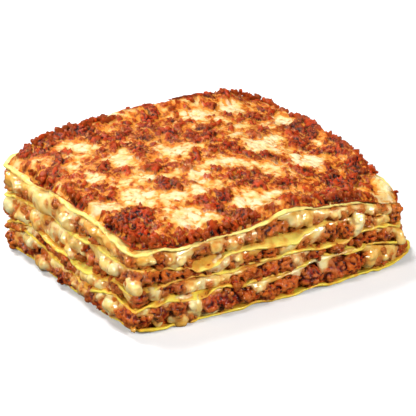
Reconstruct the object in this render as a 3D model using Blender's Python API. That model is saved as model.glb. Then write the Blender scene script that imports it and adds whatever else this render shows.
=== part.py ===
"""A slice of lasagne: five wavy pasta sheets, a meat ragu and a white sauce between each
pair of them, and a baked topping of cheese and mince. Sizes are in millimetres.

The slice lies on the floor, its front along X and its left side along Y. Every layer is
placed by two numbers: a station from 0 to 4 round the edge (front, right, back, left) and
a reach from 0 in the middle to 1 at the rim.
"""

import math
import random

import bmesh
import bpy
import numpy as np
from mathutils import Matrix, Vector, noise

MM = 0.001

# The slab in plan
HALF_WIDTH = 60.5
HALF_DEPTH = 51.5
SQUARENESS = 17.0
SHIFT_X = -4.7
SHIFT_Y = 0.3

# The layers
SHEETS = 5
PASTA = 1.1
GAP = 0.3
RIM_GAP = 0.25
LEAST_PITCH = 3.2
THINNEST = 0.5
TOPPING = 5.4

# Heights of the middle of each sheet, bottom sheet first, at even steps along an edge
FRONT_HEIGHTS = (
    (1.0, 1.0, 0.5, 0.5, 0.5, 0.5, 0.5, 0.5, 1.4, 0.5, 0.5, 0.5, 1.6),
    (9.6, 13.0, 12.8, 11.5, 11.3, 10.1, 10.0, 10.3, 13.0, 13.2, 13.4, 11.4, 9.6),
    (16.9, 18.9, 18.6, 17.4, 16.4, 17.0, 17.4, 17.7, 17.6, 16.9, 19.1, 19.3, 17.2),
    (25.3, 24.9, 22.9, 23.4, 24.1, 24.6, 24.6, 23.8, 26.0, 26.5, 25.2, 23.0, 21.2),
    (32.0, 33.0, 30.6, 31.9, 31.0, 31.6, 34.4, 35.2, 32.9, 31.7, 30.5, 27.4, 25.4),
)
LEFT_HEIGHTS = (
    (1.0, 1.2, 0.5, 0.5, 0.5, 0.5, 0.5, 1.2, 1.0, 0.5),
    (9.6, 13.0, 10.7, 8.6, 8.4, 9.6, 10.8, 11.4, 8.8, 6.0),
    (16.9, 18.8, 15.2, 14.5, 14.5, 15.1, 15.9, 15.3, 12.2, 9.2),
    (25.3, 27.3, 27.3, 26.5, 24.8, 24.6, 24.4, 23.6, 23.0, 21.0),
    (32.0, 34.2, 34.4, 34.7, 34.0, 34.7, 33.2, 31.9, 32.9, 32.0),
)
BACK_CORNER = (0.5, 10.4, 18.4, 25.8, 33.0)
BACK_RISE = (0.0, 1.6, 3.2, 4.6, 6.2)
RIGHT_RISE = (0.0, 0.8, 1.8, 2.8, 3.8)
MIDDLE_RISE = (0.0, 1.4, 2.8, 4.0, 5.0)
HIDDEN_WAVE = 0.9

# Share of each filling that is ragu at the rim, bottom filling first; the rest is sauce
FRONT_SHARE = (
    (0.70, 0.62, 0.80, 0.45, 0.70, 0.85, 0.75, 0.88, 0.92, 0.90, 0.80, 0.55, 0.62),
    (0.55, 0.72, 0.85, 0.30, 0.62, 0.82, 0.85, 0.80, 0.85, 0.88, 0.90, 0.60, 0.66),
    (0.62, 0.85, 0.80, 0.85, 0.80, 0.35, 0.85, 0.30, 0.80, 0.85, 0.72, 0.50, 0.60),
    (0.30, 0.72, 0.25, 0.75, 0.60, 0.70, 0.85, 0.45, 0.40, 0.70, 0.30, 0.35, 0.75),
)
LEFT_SHARE = (
    (0.70, 0.88, 0.90, 0.60, 0.75, 0.62, 0.85, 0.45, 0.80, 0.75),
    (0.55, 0.30, 0.85, 0.62, 0.70, 0.90, 0.80, 0.40, 0.85, 0.85),
    (0.62, 0.80, 0.35, 0.85, 0.62, 0.45, 0.30, 0.80, 0.75, 0.40),
    (0.30, 0.62, 0.40, 0.55, 0.35, 0.30, 0.70, 0.62, 0.25, 0.60),
)
BACK_SHARE = 0.62

# Mesh steps along the four edges, and rings from the middle to the rim
SIDE_STEPS = (13, 7, 7, 10)
CORNER_STEP = 0.03
RINGS = (0.0, 0.8, 0.975, 1.0)
CALM_REACH = 0.8
TOPPING_RINGS = (0.0, 0.22, 0.42, 0.58, 0.7, 0.8, 0.9, 0.975)

# Mince: how wide, how clear of a sheet, how far in from the rim, and how little room it
# can do with
LUMP = (4.0, 7.5)
LUMP_MARGIN = 0.2
LUMP_INSET = (0.6, 2.0)
LEAST_LUMP_ROOM = 2.2
RIM_LUMPS = 27
TOP_LUMPS = 50
TOP_LUMP_REACH = 0.93
GOLDEN_TURN = 0.618034

# The fillings' rim: its rows between floor and roof, its roughness and how far it stays in
RIM_ROWS = (0.3, 0.7)
ROUGHNESS = 0.8
FILLING_BACK = 0.4
SAUCE_WANDER = 1.0
SHEET_WANDER = 0.7

# The topping: how much thinner at the rim, its swells (fineness and size) and its rim
TOPPING_THINNER = 0.45
SWELLS = ((0.07, 1.3), (0.19, 0.9))
TOPPING_RIM_ROW = 0.35
TOPPING_BACK = 0.6
TOPPING_WANDER = 0.5

# The front right corner fans out, the bottom sheet most: stations where it starts, is
# widest and ends, and the reach of each sheet and each filling
FAN_STATIONS = (0.95, 1.13, 1.4)
SHEET_FAN = (13.5, 6.0, 2.0, 0.0, 0.0)
FILLING_FAN = (8.5, 5.5, 1.5, 0.0)

# Drips of sauce over the rim: station, half width, lowest and highest point
TOP_DRIP = (3.31, 7.0, 23.4, 36.0)
INNER_DRIP = (0.83, 4.2, 20.0, 29.4)
DRIP_DEPTH = 1.7
DRIP_OUT = 1.3
DRIP_ROOT = 2.0

# What draws back behind which drips, bottom layer first, and how far
SHEET_DRIPS = ((), (), (), (TOP_DRIP, INNER_DRIP), (TOP_DRIP,))
RAGU_DRIPS = ((), (), (INNER_DRIP,), (TOP_DRIP, INNER_DRIP))
SAUCE_DRIPS = ((), (), (INNER_DRIP,), (TOP_DRIP,))
SHEET_DRAW = 3.4
FILLING_DRAW = 1.2
DRAW_WIDTH = 11.0

COLOURS = {
    "pasta": (0.83, 0.62, 0.20, 1.0),
    "ragu": (0.34, 0.06, 0.015, 1.0),
    "sauce": (0.88, 0.74, 0.42, 1.0),
    "topping": (0.72, 0.30, 0.07, 1.0),
}


def clear_scene():
    for obj in list(bpy.data.objects):
        bpy.data.objects.remove(obj)


def material(name, roughness):
    made = bpy.data.materials.new(name)
    made.use_nodes = True
    shader = made.node_tree.nodes["Principled BSDF"]
    shader.inputs["Base Color"].default_value = COLOURS[name]
    shader.inputs["Roughness"].default_value = roughness
    return made


def unit_square(station):
    """The point of a square from -1 to 1 that a station of 0 to 4 names."""
    side = np.floor(station) % 4
    along = 2 * (station % 1.0) - 1
    x = np.choose(side.astype(int), (along, 1 + 0 * along, -along, -1 + 0 * along))
    y = np.choose(side.astype(int), (-1 + 0 * along, along, 1 + 0 * along, -along))
    return x, y


def station_of(x, y):
    """The station and reach of a plan point, the reverse of plan_point."""
    across = (x - SHIFT_X) / HALF_WIDTH
    deep = (y - SHIFT_Y) / HALF_DEPTH
    reach = (abs(across) ** SQUARENESS + abs(deep) ** SQUARENESS) ** (1 / SQUARENESS)
    far = max(abs(across), abs(deep), 1e-6)
    across, deep = across / far, deep / far
    if deep <= -1 + 1e-9:
        return (across + 1) / 2, reach
    if across >= 1 - 1e-9:
        return 1 + (deep + 1) / 2, reach
    if deep >= 1 - 1e-9:
        return 2 + (1 - across) / 2, reach
    return 3 + (1 - deep) / 2, reach


def plan_point(station, reach, outward=0.0):
    """The plan position for a station and reach, moved outward by some millimetres."""
    x, y = unit_square(station)
    rounding = (np.abs(x) ** SQUARENESS + np.abs(y) ** SQUARENESS) ** (-1 / SQUARENESS)
    lean = np.hypot(x * np.abs(x) ** 5, y * np.abs(y) ** 5)
    out_x = x * np.abs(x) ** 5 / lean
    out_y = y * np.abs(y) ** 5 / lean
    across = SHIFT_X + HALF_WIDTH * x * rounding * reach + out_x * outward
    deep = SHIFT_Y + HALF_DEPTH * y * rounding * reach + out_y * outward
    return across, deep


def smooth_steps(place, values):
    """A soft curve through values at even steps from 0 to 1."""
    values = np.asarray(values, float)
    spot = np.clip(place, 0, 1) * (len(values) - 1)
    low = np.minimum(spot.astype(int), len(values) - 2)
    part = spot - low
    part = part * part * (3 - 2 * part) * 0.5 + part * 0.5
    return values[low] * (1 - part) + values[low + 1] * part


def hidden_wave(station, seed):
    """The small waves of the right and back edges, which die out at the edges' ends. The
    bottom sheet, with seed 0, lies flat there."""
    if seed == 0:
        return 0 * station
    along = station % 1.0
    wave = np.sin(math.tau * (2.3 * station + 0.37 * seed))
    wave += 0.7 * np.sin(math.tau * (4.1 * station + 0.71 * seed))
    return HIDDEN_WAVE * wave * np.sin(math.pi * along)


def round_edge(station, front, left, right_end, rises, seed):
    """A value round the whole edge: listed on the front and left, worked out elsewhere."""
    along = station % 1.0
    swell = 1 - np.abs(2 * along - 1) ** 3
    right = front[-1] + (right_end - front[-1]) * along + hidden_wave(station, seed)
    right = right + rises[0] * swell
    back = right_end + (left[-1] - right_end) * along + hidden_wave(station, seed)
    back = back + rises[1] * swell
    sides = (smooth_steps(along, front), right, back, smooth_steps(along, left[::-1]))
    return np.choose((np.floor(station) % 4).astype(int), sides)


def middle_height(sheet, x, y):
    """The calm height of a sheet inside its wavy rim, for x and y from -1 to 1."""
    front = FRONT_HEIGHTS[sheet]
    left = LEFT_HEIGHTS[sheet]
    across = (x + 1) / 2
    deep = (y + 1) / 2
    near = front[0] * (1 - across) + front[-1] * across
    far = left[-1] * (1 - across) + BACK_CORNER[sheet] * across
    dome = (1 - x * x) * (1 - y * y) + 0.5 * (1 - x * x) * deep
    level = near * (1 - deep) + far * deep + MIDDLE_RISE[sheet] * dome
    return level if sheet else 0 * level + PASTA / 2


def ring_height(sheet, station, ring):
    """The height of one sheet's middle at one ring, before neighbours push it up."""
    x, y = unit_square(station)
    calm = middle_height(sheet, x * ring, y * ring)
    rim = round_edge(
        station,
        FRONT_HEIGHTS[sheet],
        LEFT_HEIGHTS[sheet],
        BACK_CORNER[sheet],
        (RIGHT_RISE[sheet], BACK_RISE[sheet]),
        sheet,
    )
    if sheet == 0:
        rim = np.maximum(rim, PASTA / 2)
    fade = np.clip((ring - CALM_REACH) / (RINGS[2] - CALM_REACH), 0, 1)
    return calm + (rim - middle_height(sheet, x, y)) * fade * fade * (3 - 2 * fade)


def sheet_height(sheet, station, reach):
    """The height of a sheet's middle, straight from ring to ring, clear of the one below."""
    rings = []
    for ring in RINGS:
        level = ring_height(0, station, ring)
        for above in range(1, sheet + 1):
            level = np.maximum(ring_height(above, station, ring), level + LEAST_PITCH)
        rings.append(level)
    reach = np.clip(reach, 0, 1) + 0 * station
    place = np.clip(np.searchsorted(RINGS, reach) - 1, 0, len(RINGS) - 2)
    low = np.asarray(RINGS)[place]
    high = np.asarray(RINGS)[place + 1]
    part = (reach - low) / (high - low)
    rings = np.asarray(rings)
    each = np.arange(len(rings[0]))
    return rings[place, each] * (1 - part) + rings[place + 1, each] * part


def ragu_share(filling, station, reach):
    edge = round_edge(
        station, FRONT_SHARE[filling], LEFT_SHARE[filling], BACK_SHARE, (0, 0), filling + 7
    )
    fade = np.clip((reach - CALM_REACH) / (RINGS[2] - CALM_REACH), 0, 1)
    return BACK_SHARE + (np.clip(edge, 0.2, 0.9) - BACK_SHARE) * fade


def clearance(reach):
    """The gap to a sheet, a little wider at the rim, where the sheets wander in and out."""
    return GAP + RIM_GAP * np.clip((reach - CALM_REACH) / (1 - CALM_REACH), 0, 1)


def filling_floor(filling, station, reach):
    return sheet_height(filling, station, reach) + PASTA / 2 + clearance(reach)


def filling_roof(filling, station, reach):
    return sheet_height(filling + 1, station, reach) - PASTA / 2 - clearance(reach)


def ragu_roof(filling, station, reach):
    """The top of the ragu, which leaves a least thickness and a gap for the sauce."""
    low = filling_floor(filling, station, reach)
    high = filling_roof(filling, station, reach)
    level = low + (high - low) * ragu_share(filling, station, reach)
    return np.clip(level, low + THINNEST, high - THINNEST - GAP)


def sauce_floor(filling, station, reach):
    return ragu_roof(filling, station, reach) + GAP


def wander(station, seed, size):
    """A seeded smooth in-and-out round the edge, which meets itself after one turn."""
    turn = station * math.pi / 2
    value = np.sin(3 * turn + seed) + 0.7 * np.sin(7 * turn + 2.1 * seed)
    return size * (value + 0.5 * np.sin(13 * turn + 4.3 * seed)) / 1.6


def fan(station):
    """How far the front right corner fans out, from 0 to 1."""
    return np.interp(station, FAN_STATIONS, (0, 1, 0), left=0, right=0)


def behind(drips, station):
    """How much the layers draw back from the rim behind some drips, from 0 to 1."""
    drawn = 0 * station
    for drip_station, *_ in drips:
        away = (station - drip_station) * 2 * HALF_DEPTH / DRAW_WIDTH
        drawn = drawn + np.exp(-away * away)
    return drawn


def sheet_outward(sheet, station):
    drawn = SHEET_DRAW * behind(SHEET_DRIPS[sheet], station)
    return wander(station, 1.7 * sheet, SHEET_WANDER) - drawn


def stations():
    """The stations of the mesh columns, with one near each corner, and back to the start."""
    found = []
    for side, steps in enumerate(SIDE_STEPS):
        inner = [step / steps for step in range(1, steps)]
        found += [side + part for part in [0, CORNER_STEP, *inner, 1 - CORNER_STEP]]
    return np.array(found + [4.0])


def wrapped_slab(name, rows, look):
    """A closed slab from rows of (x, y, z) that run from the middle below, round the rim,
    to the middle above. A grid is wrapped round the slab and its seam and ends are joined.
    The lower and upper skins are split into triangles the same way, so a gap stays even."""
    columns = len(rows[0][0])
    grid = bmesh.new()
    bmesh.ops.create_grid(grid, x_segments=columns - 1, y_segments=len(rows) - 1, size=1.0)
    grid.verts.ensure_lookup_table()
    lower = [face for face in grid.faces if face.calc_center_median().y < 0]
    upper = [face for face in grid.faces if face.calc_center_median().y >= 0]
    for vert in grid.verts:
        column = round((vert.co.x + 1) / 2 * (columns - 1))
        row = round((vert.co.y + 1) / 2 * (len(rows) - 1))
        x, y, z = (part[column % (columns - 1)] for part in rows[row])
        vert.co = Vector((x, y, z)) * MM
    bmesh.ops.triangulate(grid, faces=lower, quad_method="FIXED")
    bmesh.ops.triangulate(grid, faces=upper, quad_method="ALTERNATE")
    bmesh.ops.remove_doubles(grid, verts=grid.verts, dist=0.00001)
    bmesh.ops.dissolve_degenerate(grid, edges=grid.edges, dist=0.00001)
    bmesh.ops.recalc_face_normals(grid, faces=grid.faces)
    mesh = bpy.data.meshes.new(name)
    grid.to_mesh(mesh)
    grid.free()
    mesh.materials.append(look)
    obj = bpy.data.objects.new(name, mesh)
    bpy.context.collection.objects.link(obj)
    return obj


def row(station, reach, height, outward=0.0, fanned=0.0):
    x, y = plan_point(station, reach, outward)
    return x + fanned * fan(station), y, height + 0 * x


def pasta_sheet(sheet, look):
    station = stations()
    rows = []
    for reach in RINGS:
        at_rim = reach == 1.0
        out = sheet_outward(sheet, station) if at_rim else 0.0
        level = sheet_height(sheet, station, reach) - PASTA / 2
        rows.append(row(station, reach, level, out, at_rim * SHEET_FAN[sheet]))
    rows += [(x, y, z + PASTA) for x, y, z in reversed(rows)]
    return wrapped_slab(f"pasta_sheet_{sheet + 1}", rows, look)


def layer(name, station, floor, roof, bulges, fanned, look):
    """A filling between a floor and a roof, with a rim that swells out by two bulges."""
    rows = [row(station, reach, floor(reach)) for reach in RINGS[:-1]]
    low = floor(1.0)
    high = roof(1.0)
    for part, bulge in zip(RIM_ROWS, bulges):
        rows.append(row(station, 1.0, low + part * (high - low), bulge, fanned))
    rows += [row(station, reach, roof(reach)) for reach in reversed(RINGS[:-1])]
    return wrapped_slab(name, rows, look)


def jitter(station, seed, size):
    """A seeded random value for each column, the same at the start and the end."""
    draw = random.Random(seed)
    values = [draw.uniform(-size, size) for _ in station]
    return np.array(values[:-1] + values[:1])


def ragu(filling, look):
    station = stations()
    back = FILLING_BACK + FILLING_DRAW * behind(RAGU_DRIPS[filling], station)
    core = layer(
        f"ragu_{filling + 1}",
        station,
        lambda reach: filling_floor(filling, station, reach),
        lambda reach: ragu_roof(filling, station, reach),
        [jitter(station, filling + seed, ROUGHNESS) - back for seed in (0, 9)],
        FILLING_FAN[filling],
        look,
    )
    return join_lumps(core, rim_lumps(filling, look))


def white_sauce(filling, look):
    station = stations()
    bulge = wander(station, 3.3 * filling + 2, SAUCE_WANDER) - FILLING_BACK
    bulge = bulge - FILLING_DRAW * behind(SAUCE_DRIPS[filling], station)
    if filling == 3:
        bulge = bulge + DRIP_ROOT * behind([INNER_DRIP], station)
    pour = layer(
        f"white_sauce_{filling + 1}",
        station,
        lambda reach: sauce_floor(filling, station, reach),
        lambda reach: filling_roof(filling, station, reach),
        (bulge, bulge),
        FILLING_FAN[filling],
        look,
    )
    if filling == 3:
        pour = join_lumps(pour, [drip(INNER_DRIP, look)])
    return pour


def drip(shape, look):
    """A tongue of sauce that hangs outside the rim, clear of the sheets behind it."""
    station, half_width, lowest, highest = shape
    x, y = plan_point(np.array([station]), 1.0, DRIP_OUT)
    along_front = station < 1
    radii = (half_width, DRIP_DEPTH) if along_front else (DRIP_DEPTH, half_width)
    centre = (x[0], y[0], (lowest + highest) / 2)
    return lump(centre, (*radii, (highest - lowest) / 2), None, look)


def lump(centre, radii, draw, look):
    """One crumb of mince: a few-sided ball pulled out of shape and turned at random. With
    no draw it is a smooth drop."""
    ball = bmesh.new()
    bmesh.ops.create_icosphere(ball, subdivisions=1 if draw else 2, radius=1.0)
    turn = Matrix.Rotation(draw.uniform(0, math.tau) if draw else 0.0, 3, "Z")
    for vert in ball.verts:
        vert.co = turn @ (vert.co * (draw.uniform(0.88, 1.12) if draw else 1.0))
        vert.co = Vector(a * b for a, b in zip(vert.co, radii))
        vert.co = (vert.co + Vector(centre)) * MM
    mesh = bpy.data.meshes.new("lump")
    ball.to_mesh(mesh)
    ball.free()
    mesh.materials.append(look)
    obj = bpy.data.objects.new("lump", mesh)
    bpy.context.collection.objects.link(obj)
    return obj


def around(steps, value):
    """The two steps that a value lies between, and its part of the way from one to the
    other."""
    after = min(max(np.searchsorted(steps, value, side="right"), 1), len(steps) - 1)
    ends = steps[after - 1 : after + 1]
    return ends, (value - ends[0]) / (ends[1] - ends[0])


def on_mesh(height, station, reach):
    """A height read off the layers' triangles, which split each cell between two columns
    and two rings from its inner left corner to its outer right one."""
    columns, along = around(stations(), station)
    rings, outward = around(np.array(RINGS), reach)
    (near, near_right), (far, far_right) = (height(columns, ring) for ring in rings)
    if along > outward:
        return near + along * (near_right - near) + outward * (far_right - near_right)
    return near + outward * (far - near) + along * (far_right - far)


def clamp_between(obj, floor, roof):
    """Keeps a lump's points between two heights, a margin clear of both."""
    for vert in obj.data.vertices:
        station, reach = station_of(vert.co.x / MM, vert.co.y / MM)
        low = on_mesh(floor, station, min(reach, 1.0)) + LUMP_MARGIN
        high = on_mesh(roof, station, min(reach, 1.0)) - LUMP_MARGIN
        vert.co.z = MM * min(max(vert.co.z / MM, low), high)


def rim_lumps(filling, look):
    draw = random.Random(40 + filling)
    found = []
    for number in range(RIM_LUMPS):
        station = np.array([4 * (number + draw.uniform(0.2, 0.8)) / RIM_LUMPS])
        low = filling_floor(filling, station, 1.0)[0]
        high = ragu_roof(filling, station, 1.0)[0]
        covered = behind(RAGU_DRIPS[filling], station)[0] > 0.2
        if high - low < LEAST_LUMP_ROOM or covered:
            continue
        x, y = plan_point(station, 1.0, -draw.uniform(*LUMP_INSET[::-1]))
        x = x + FILLING_FAN[filling] * fan(station)
        wide = draw.uniform(*LUMP) / 2
        tall = min(draw.uniform(*LUMP) / 2, (high - low) / 2)
        centre = (x[0], y[0], (low + high) / 2)
        piece = lump(centre, (wide, wide, tall), draw, look)
        clamp_between(
            piece,
            lambda place, reach: filling_floor(filling, place, reach),
            lambda place, reach: ragu_roof(filling, place, reach),
        )
        found.append(piece)
    return found


def join_lumps(core, lumps):
    """One Boolean union of the core with all its lumps, after which the lumps are removed."""
    group = bpy.data.collections.new("lumps")
    bpy.context.scene.collection.children.link(group)
    for piece in lumps:
        group.objects.link(piece)
        bpy.context.collection.objects.unlink(piece)
    union = core.modifiers.new("lumps", "BOOLEAN")
    union.operation = "UNION"
    union.operand_type = "COLLECTION"
    union.collection = group
    union.solver = "MANIFOLD"
    graph = bpy.context.evaluated_depsgraph_get()
    joined = bpy.data.meshes.new_from_object(core.evaluated_get(graph))
    core.modifiers.clear()
    core.data = joined
    for piece in lumps:
        bpy.data.objects.remove(piece)
    bpy.data.collections.remove(group)
    return core


def topping_height(station, reach):
    """The top of the baked topping: full inside, thinner at the rim, with soft swells."""
    x, y = plan_point(station, reach)
    swell = 0 * x
    for fineness, size in SWELLS:
        spots = [Vector((a * fineness, b * fineness, 3.0)) for a, b in zip(x, y)]
        swell = swell + size * np.array([noise.noise(spot) for spot in spots])
    thin = 1 - TOPPING_THINNER * np.clip((reach - CALM_REACH) / (1 - CALM_REACH), 0, 1) ** 2
    base = sheet_height(SHEETS - 1, station, reach) + PASTA / 2 + GAP
    return base + TOPPING * thin + swell


def topping(look):
    station = stations()
    rows = []
    for reach in RINGS[:-1]:
        rows.append(row(station, reach, filling_floor(SHEETS - 1, station, reach)))
    low = rows[-1][2]
    high = topping_height(station, RINGS[2])
    out = wander(station, 5.0, TOPPING_WANDER) - TOPPING_BACK
    out = out + DRIP_ROOT * behind([TOP_DRIP], station)
    rows.append(row(station, 1.0, low + TOPPING_RIM_ROW * (high - low), out))
    for reach in reversed(TOPPING_RINGS):
        rows.append(row(station, reach, topping_height(station, reach)))
    core = wrapped_slab("baked_topping", rows, look)
    return join_lumps(core, [*top_lumps(look), drip(TOP_DRIP, look)])


def top_lumps(look):
    draw = random.Random(9)
    found = []
    for number in range(TOP_LUMPS):
        spread = math.sqrt((number + 0.5) / TOP_LUMPS)
        station = np.array([(number * 4 * GOLDEN_TURN) % 4])
        reach = TOP_LUMP_REACH * spread
        x, y = plan_point(station, reach)
        level = topping_height(station, reach)[0]
        wide = draw.uniform(*LUMP) / 2
        centre = (x[0], y[0], level)
        piece = lump(centre, (wide, wide * 0.8, wide * 0.6), draw, look)
        clamp_between(
            piece,
            lambda place, reach: filling_floor(SHEETS - 1, place, reach),
            lambda place, reach: 99.0 + 0 * place,
        )
        found.append(piece)
    return found


def main():
    clear_scene()
    pasta = material("pasta", 0.45)
    meat = material("ragu", 0.5)
    sauce = material("sauce", 0.35)
    baked = material("topping", 0.5)
    for sheet in range(SHEETS):
        pasta_sheet(sheet, pasta)
    for filling in range(SHEETS - 1):
        ragu(filling, meat)
        white_sauce(filling, sauce)
    topping(baked)


main()
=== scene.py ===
# %% [markdown]
# # A slice of lasagne
#
# Five cooked pasta sheets lie on each other, with a meat ragu and a white sauce between
# each pair, and a baked topping of cheese and mince above. The CAD frame gives the plain
# solids. This script dresses each of them: it lays out the same layers from the same
# named sizes, but with fine waves, crumbs and drips, and gives them moist materials.
# All lengths are in millimetres until a mesh is made.

# %% Load the frame
import math

import bpy
import numpy as np
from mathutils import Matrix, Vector, kdtree


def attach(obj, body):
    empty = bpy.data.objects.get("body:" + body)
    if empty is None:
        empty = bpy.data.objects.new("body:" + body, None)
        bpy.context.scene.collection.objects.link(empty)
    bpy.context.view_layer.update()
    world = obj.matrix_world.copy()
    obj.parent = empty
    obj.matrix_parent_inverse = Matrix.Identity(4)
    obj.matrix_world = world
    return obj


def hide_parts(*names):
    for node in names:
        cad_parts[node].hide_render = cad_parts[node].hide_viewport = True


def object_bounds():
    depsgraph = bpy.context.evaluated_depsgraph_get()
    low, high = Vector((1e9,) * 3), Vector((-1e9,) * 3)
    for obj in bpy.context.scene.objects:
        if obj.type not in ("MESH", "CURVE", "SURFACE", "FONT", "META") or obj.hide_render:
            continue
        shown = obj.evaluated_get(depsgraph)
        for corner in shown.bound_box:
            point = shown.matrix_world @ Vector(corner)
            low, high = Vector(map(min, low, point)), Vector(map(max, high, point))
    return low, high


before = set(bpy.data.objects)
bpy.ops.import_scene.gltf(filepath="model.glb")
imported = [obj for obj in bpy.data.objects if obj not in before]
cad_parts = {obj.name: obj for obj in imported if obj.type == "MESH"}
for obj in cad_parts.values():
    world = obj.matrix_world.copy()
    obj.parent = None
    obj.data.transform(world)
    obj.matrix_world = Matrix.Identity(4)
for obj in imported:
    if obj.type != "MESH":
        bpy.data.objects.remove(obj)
cad_low, cad_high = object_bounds()
MM = 0.001
print("CAD box in mm", [round(c / MM, 1) for c in (*cad_low, *cad_high)])

# %% [markdown]
# ## The camera
#
# The photograph looks down on one corner of the slice. The lens is long, so that the
# layers hardly shrink with distance. The camera is placed by three angles and a distance
# from the point in the slice that sits in the middle of the picture.

# %% Camera
AZIMUTH = math.radians(-32.0)
ELEVATION = math.radians(23.5)
DISTANCE = 900.0
TARGET = np.array((-3.05, -2.86, 20.0))
LENS = 201.6
FILM_WIDTH = 36.0
FAR_END = 20.0
PHOTO_SIZE = 416.0


def direction_to(azimuth, elevation):
    """The unit direction from the slice to a thing that two angles in radians place."""
    flat = math.cos(elevation)
    return np.array((math.sin(azimuth) * flat, -math.cos(azimuth) * flat, math.sin(elevation)))


def look_along(thing, direction):
    """Turns a camera or a lamp, which both look down their own -Z axis."""
    thing.rotation_mode = "QUATERNION"
    thing.rotation_quaternion = Vector(direction).to_track_quat("-Z", "Y")


toward = direction_to(AZIMUTH, ELEVATION)
EYE = TARGET + toward * DISTANCE
FOCAL = LENS / FILM_WIDTH * PHOTO_SIZE
camera = bpy.data.objects.new("camera", bpy.data.cameras.new("camera"))
camera.data.lens = LENS
camera.data.sensor_width = FILM_WIDTH
camera.data.clip_end = FAR_END
camera.location = Vector(EYE) * MM
look_along(camera, -toward)
bpy.context.collection.objects.link(camera)
bpy.context.scene.camera = camera


def sight(column, row):
    """The direction from the camera through a pixel of the photograph."""
    right = np.array((math.cos(AZIMUTH), math.sin(AZIMUTH), 0.0))
    up = np.cross(right, -toward)
    middle = PHOTO_SIZE / 2
    return (column - middle) / FOCAL * right - (row - middle) / FOCAL * up - toward


print("camera stands at", np.round(EYE))

# %% [markdown]
# ## Smooth noise
#
# Food is uneven, and noise is how a computer draws unevenness. This one keeps random
# values on a lattice and blends them softly between its points. It works on whole arrays
# of points at once, which is why it is written with numpy. Several sizes on top of each
# other look rough, and noise folded at its middle looks like crumbs that touch.

# %% Noise
LATTICE_SIZE = 32
LATTICE = np.random.default_rng(7).uniform(-1, 1, (LATTICE_SIZE,) * 3)
SEED_STEP = 11.3
AXIS_STEP = 5.1


def soft_noise(x, y, z, size, seed=0):
    """Noise from about -1 to 1 whose bumps are some millimetres wide."""
    axes = enumerate((x, y, z))
    spot = [np.asarray(c, float) / size + SEED_STEP * seed + AXIS_STEP * k for k, c in axes]
    whole = [np.floor(c).astype(int) for c in spot]
    part = [c - w for c, w in zip(spot, whole)]
    part = [p * p * (3 - 2 * p) for p in part]
    total = 0.0
    for corner in range(8):
        steps = [corner >> k & 1 for k in range(3)]
        weight = 1.0
        for step, p in zip(steps, part):
            weight = weight * (p if step else 1 - p)
        i, j, k = ((w + s) % LATTICE_SIZE for w, s in zip(whole, steps))
        total = total + weight * LATTICE[i, j, k]
    return total


def rough_noise(x, y, z, size, seed=0, octaves=3):
    """Several noises of halving size on top of each other."""
    total = 0.0
    for octave in range(octaves):
        total = total + soft_noise(x, y, z, size / 2**octave, seed + octave) / 2**octave
    return total


def crumble(x, y, z, size, seed=0, octaves=2):
    """Noise folded at its middle: rounded bumps from -1 to 1 with sharp creases between."""
    total = 0.0
    for octave in range(octaves):
        fold = np.abs(soft_noise(x, y, z, size / 2**octave, seed + octave))
        total = total + (2.5 * fold - 0.7) / 2**octave
    return total


def ease(value, low, high):
    """A soft step from 0 at low to 1 at high."""
    part = np.clip((value - low) / (high - low), 0, 1)
    return part * part * (3 - 2 * part)


# %% [markdown]
# ## Where the layers lie
#
# Every layer is addressed by a station, which runs from 0 to 4 round the edge (front,
# right, back, left), and a reach, which runs from 0 in the middle to 1 at the rim. The
# heights of the sheets along the two cut sides were measured in the photograph and are
# the same as in the CAD model, so that a finer mesh still follows its solids.

# %% Layer sizes
HALF_WIDTH = 60.5
HALF_DEPTH = 51.5
SQUARENESS = 17.0
CORNER_TURN = 5
SHIFT_X = -4.7
SHIFT_Y = 0.3
SHEETS = 5
PASTA = 1.1
GAP = 0.3
LEAST_PITCH = 3.2
TOPPING = 5.4
FRONT_HEIGHTS = (
    (1.0, 1.0, 0.5, 0.5, 0.5, 0.5, 0.5, 0.5, 1.4, 0.5, 0.5, 0.5, 1.6),
    (9.6, 13.0, 12.8, 11.5, 11.3, 10.1, 10.0, 10.3, 13.0, 13.2, 13.4, 11.4, 9.6),
    (16.9, 18.9, 18.6, 17.4, 16.4, 17.0, 17.4, 17.7, 17.6, 16.9, 19.1, 19.3, 17.2),
    (25.3, 24.9, 22.9, 23.4, 24.1, 24.6, 24.6, 23.8, 26.0, 26.5, 25.2, 23.0, 21.2),
    (32.0, 33.0, 30.6, 31.9, 31.0, 31.6, 34.4, 35.2, 32.9, 31.7, 30.5, 27.4, 25.4),
)
LEFT_HEIGHTS = (
    (1.0, 1.2, 0.5, 0.5, 0.5, 0.5, 0.5, 1.2, 1.0, 0.5),
    (9.6, 13.0, 10.7, 8.6, 8.4, 9.6, 10.8, 11.4, 8.8, 6.0),
    (16.9, 18.8, 15.2, 14.5, 14.5, 15.1, 15.9, 15.3, 12.2, 9.2),
    (25.3, 27.3, 27.3, 26.5, 24.8, 24.6, 24.4, 23.6, 23.0, 21.0),
    (32.0, 34.2, 34.4, 34.7, 34.0, 34.7, 33.2, 31.9, 32.9, 32.0),
)
BACK_CORNER = (0.5, 10.4, 18.4, 25.8, 33.0)
BACK_RISE = (0.0, 1.6, 3.2, 4.6, 6.2)
RIGHT_RISE = (0.0, 0.8, 1.8, 2.8, 3.8)
MIDDLE_RISE = (0.0, 1.4, 2.8, 4.0, 5.0)
HIDDEN_WAVE = 0.9
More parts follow.
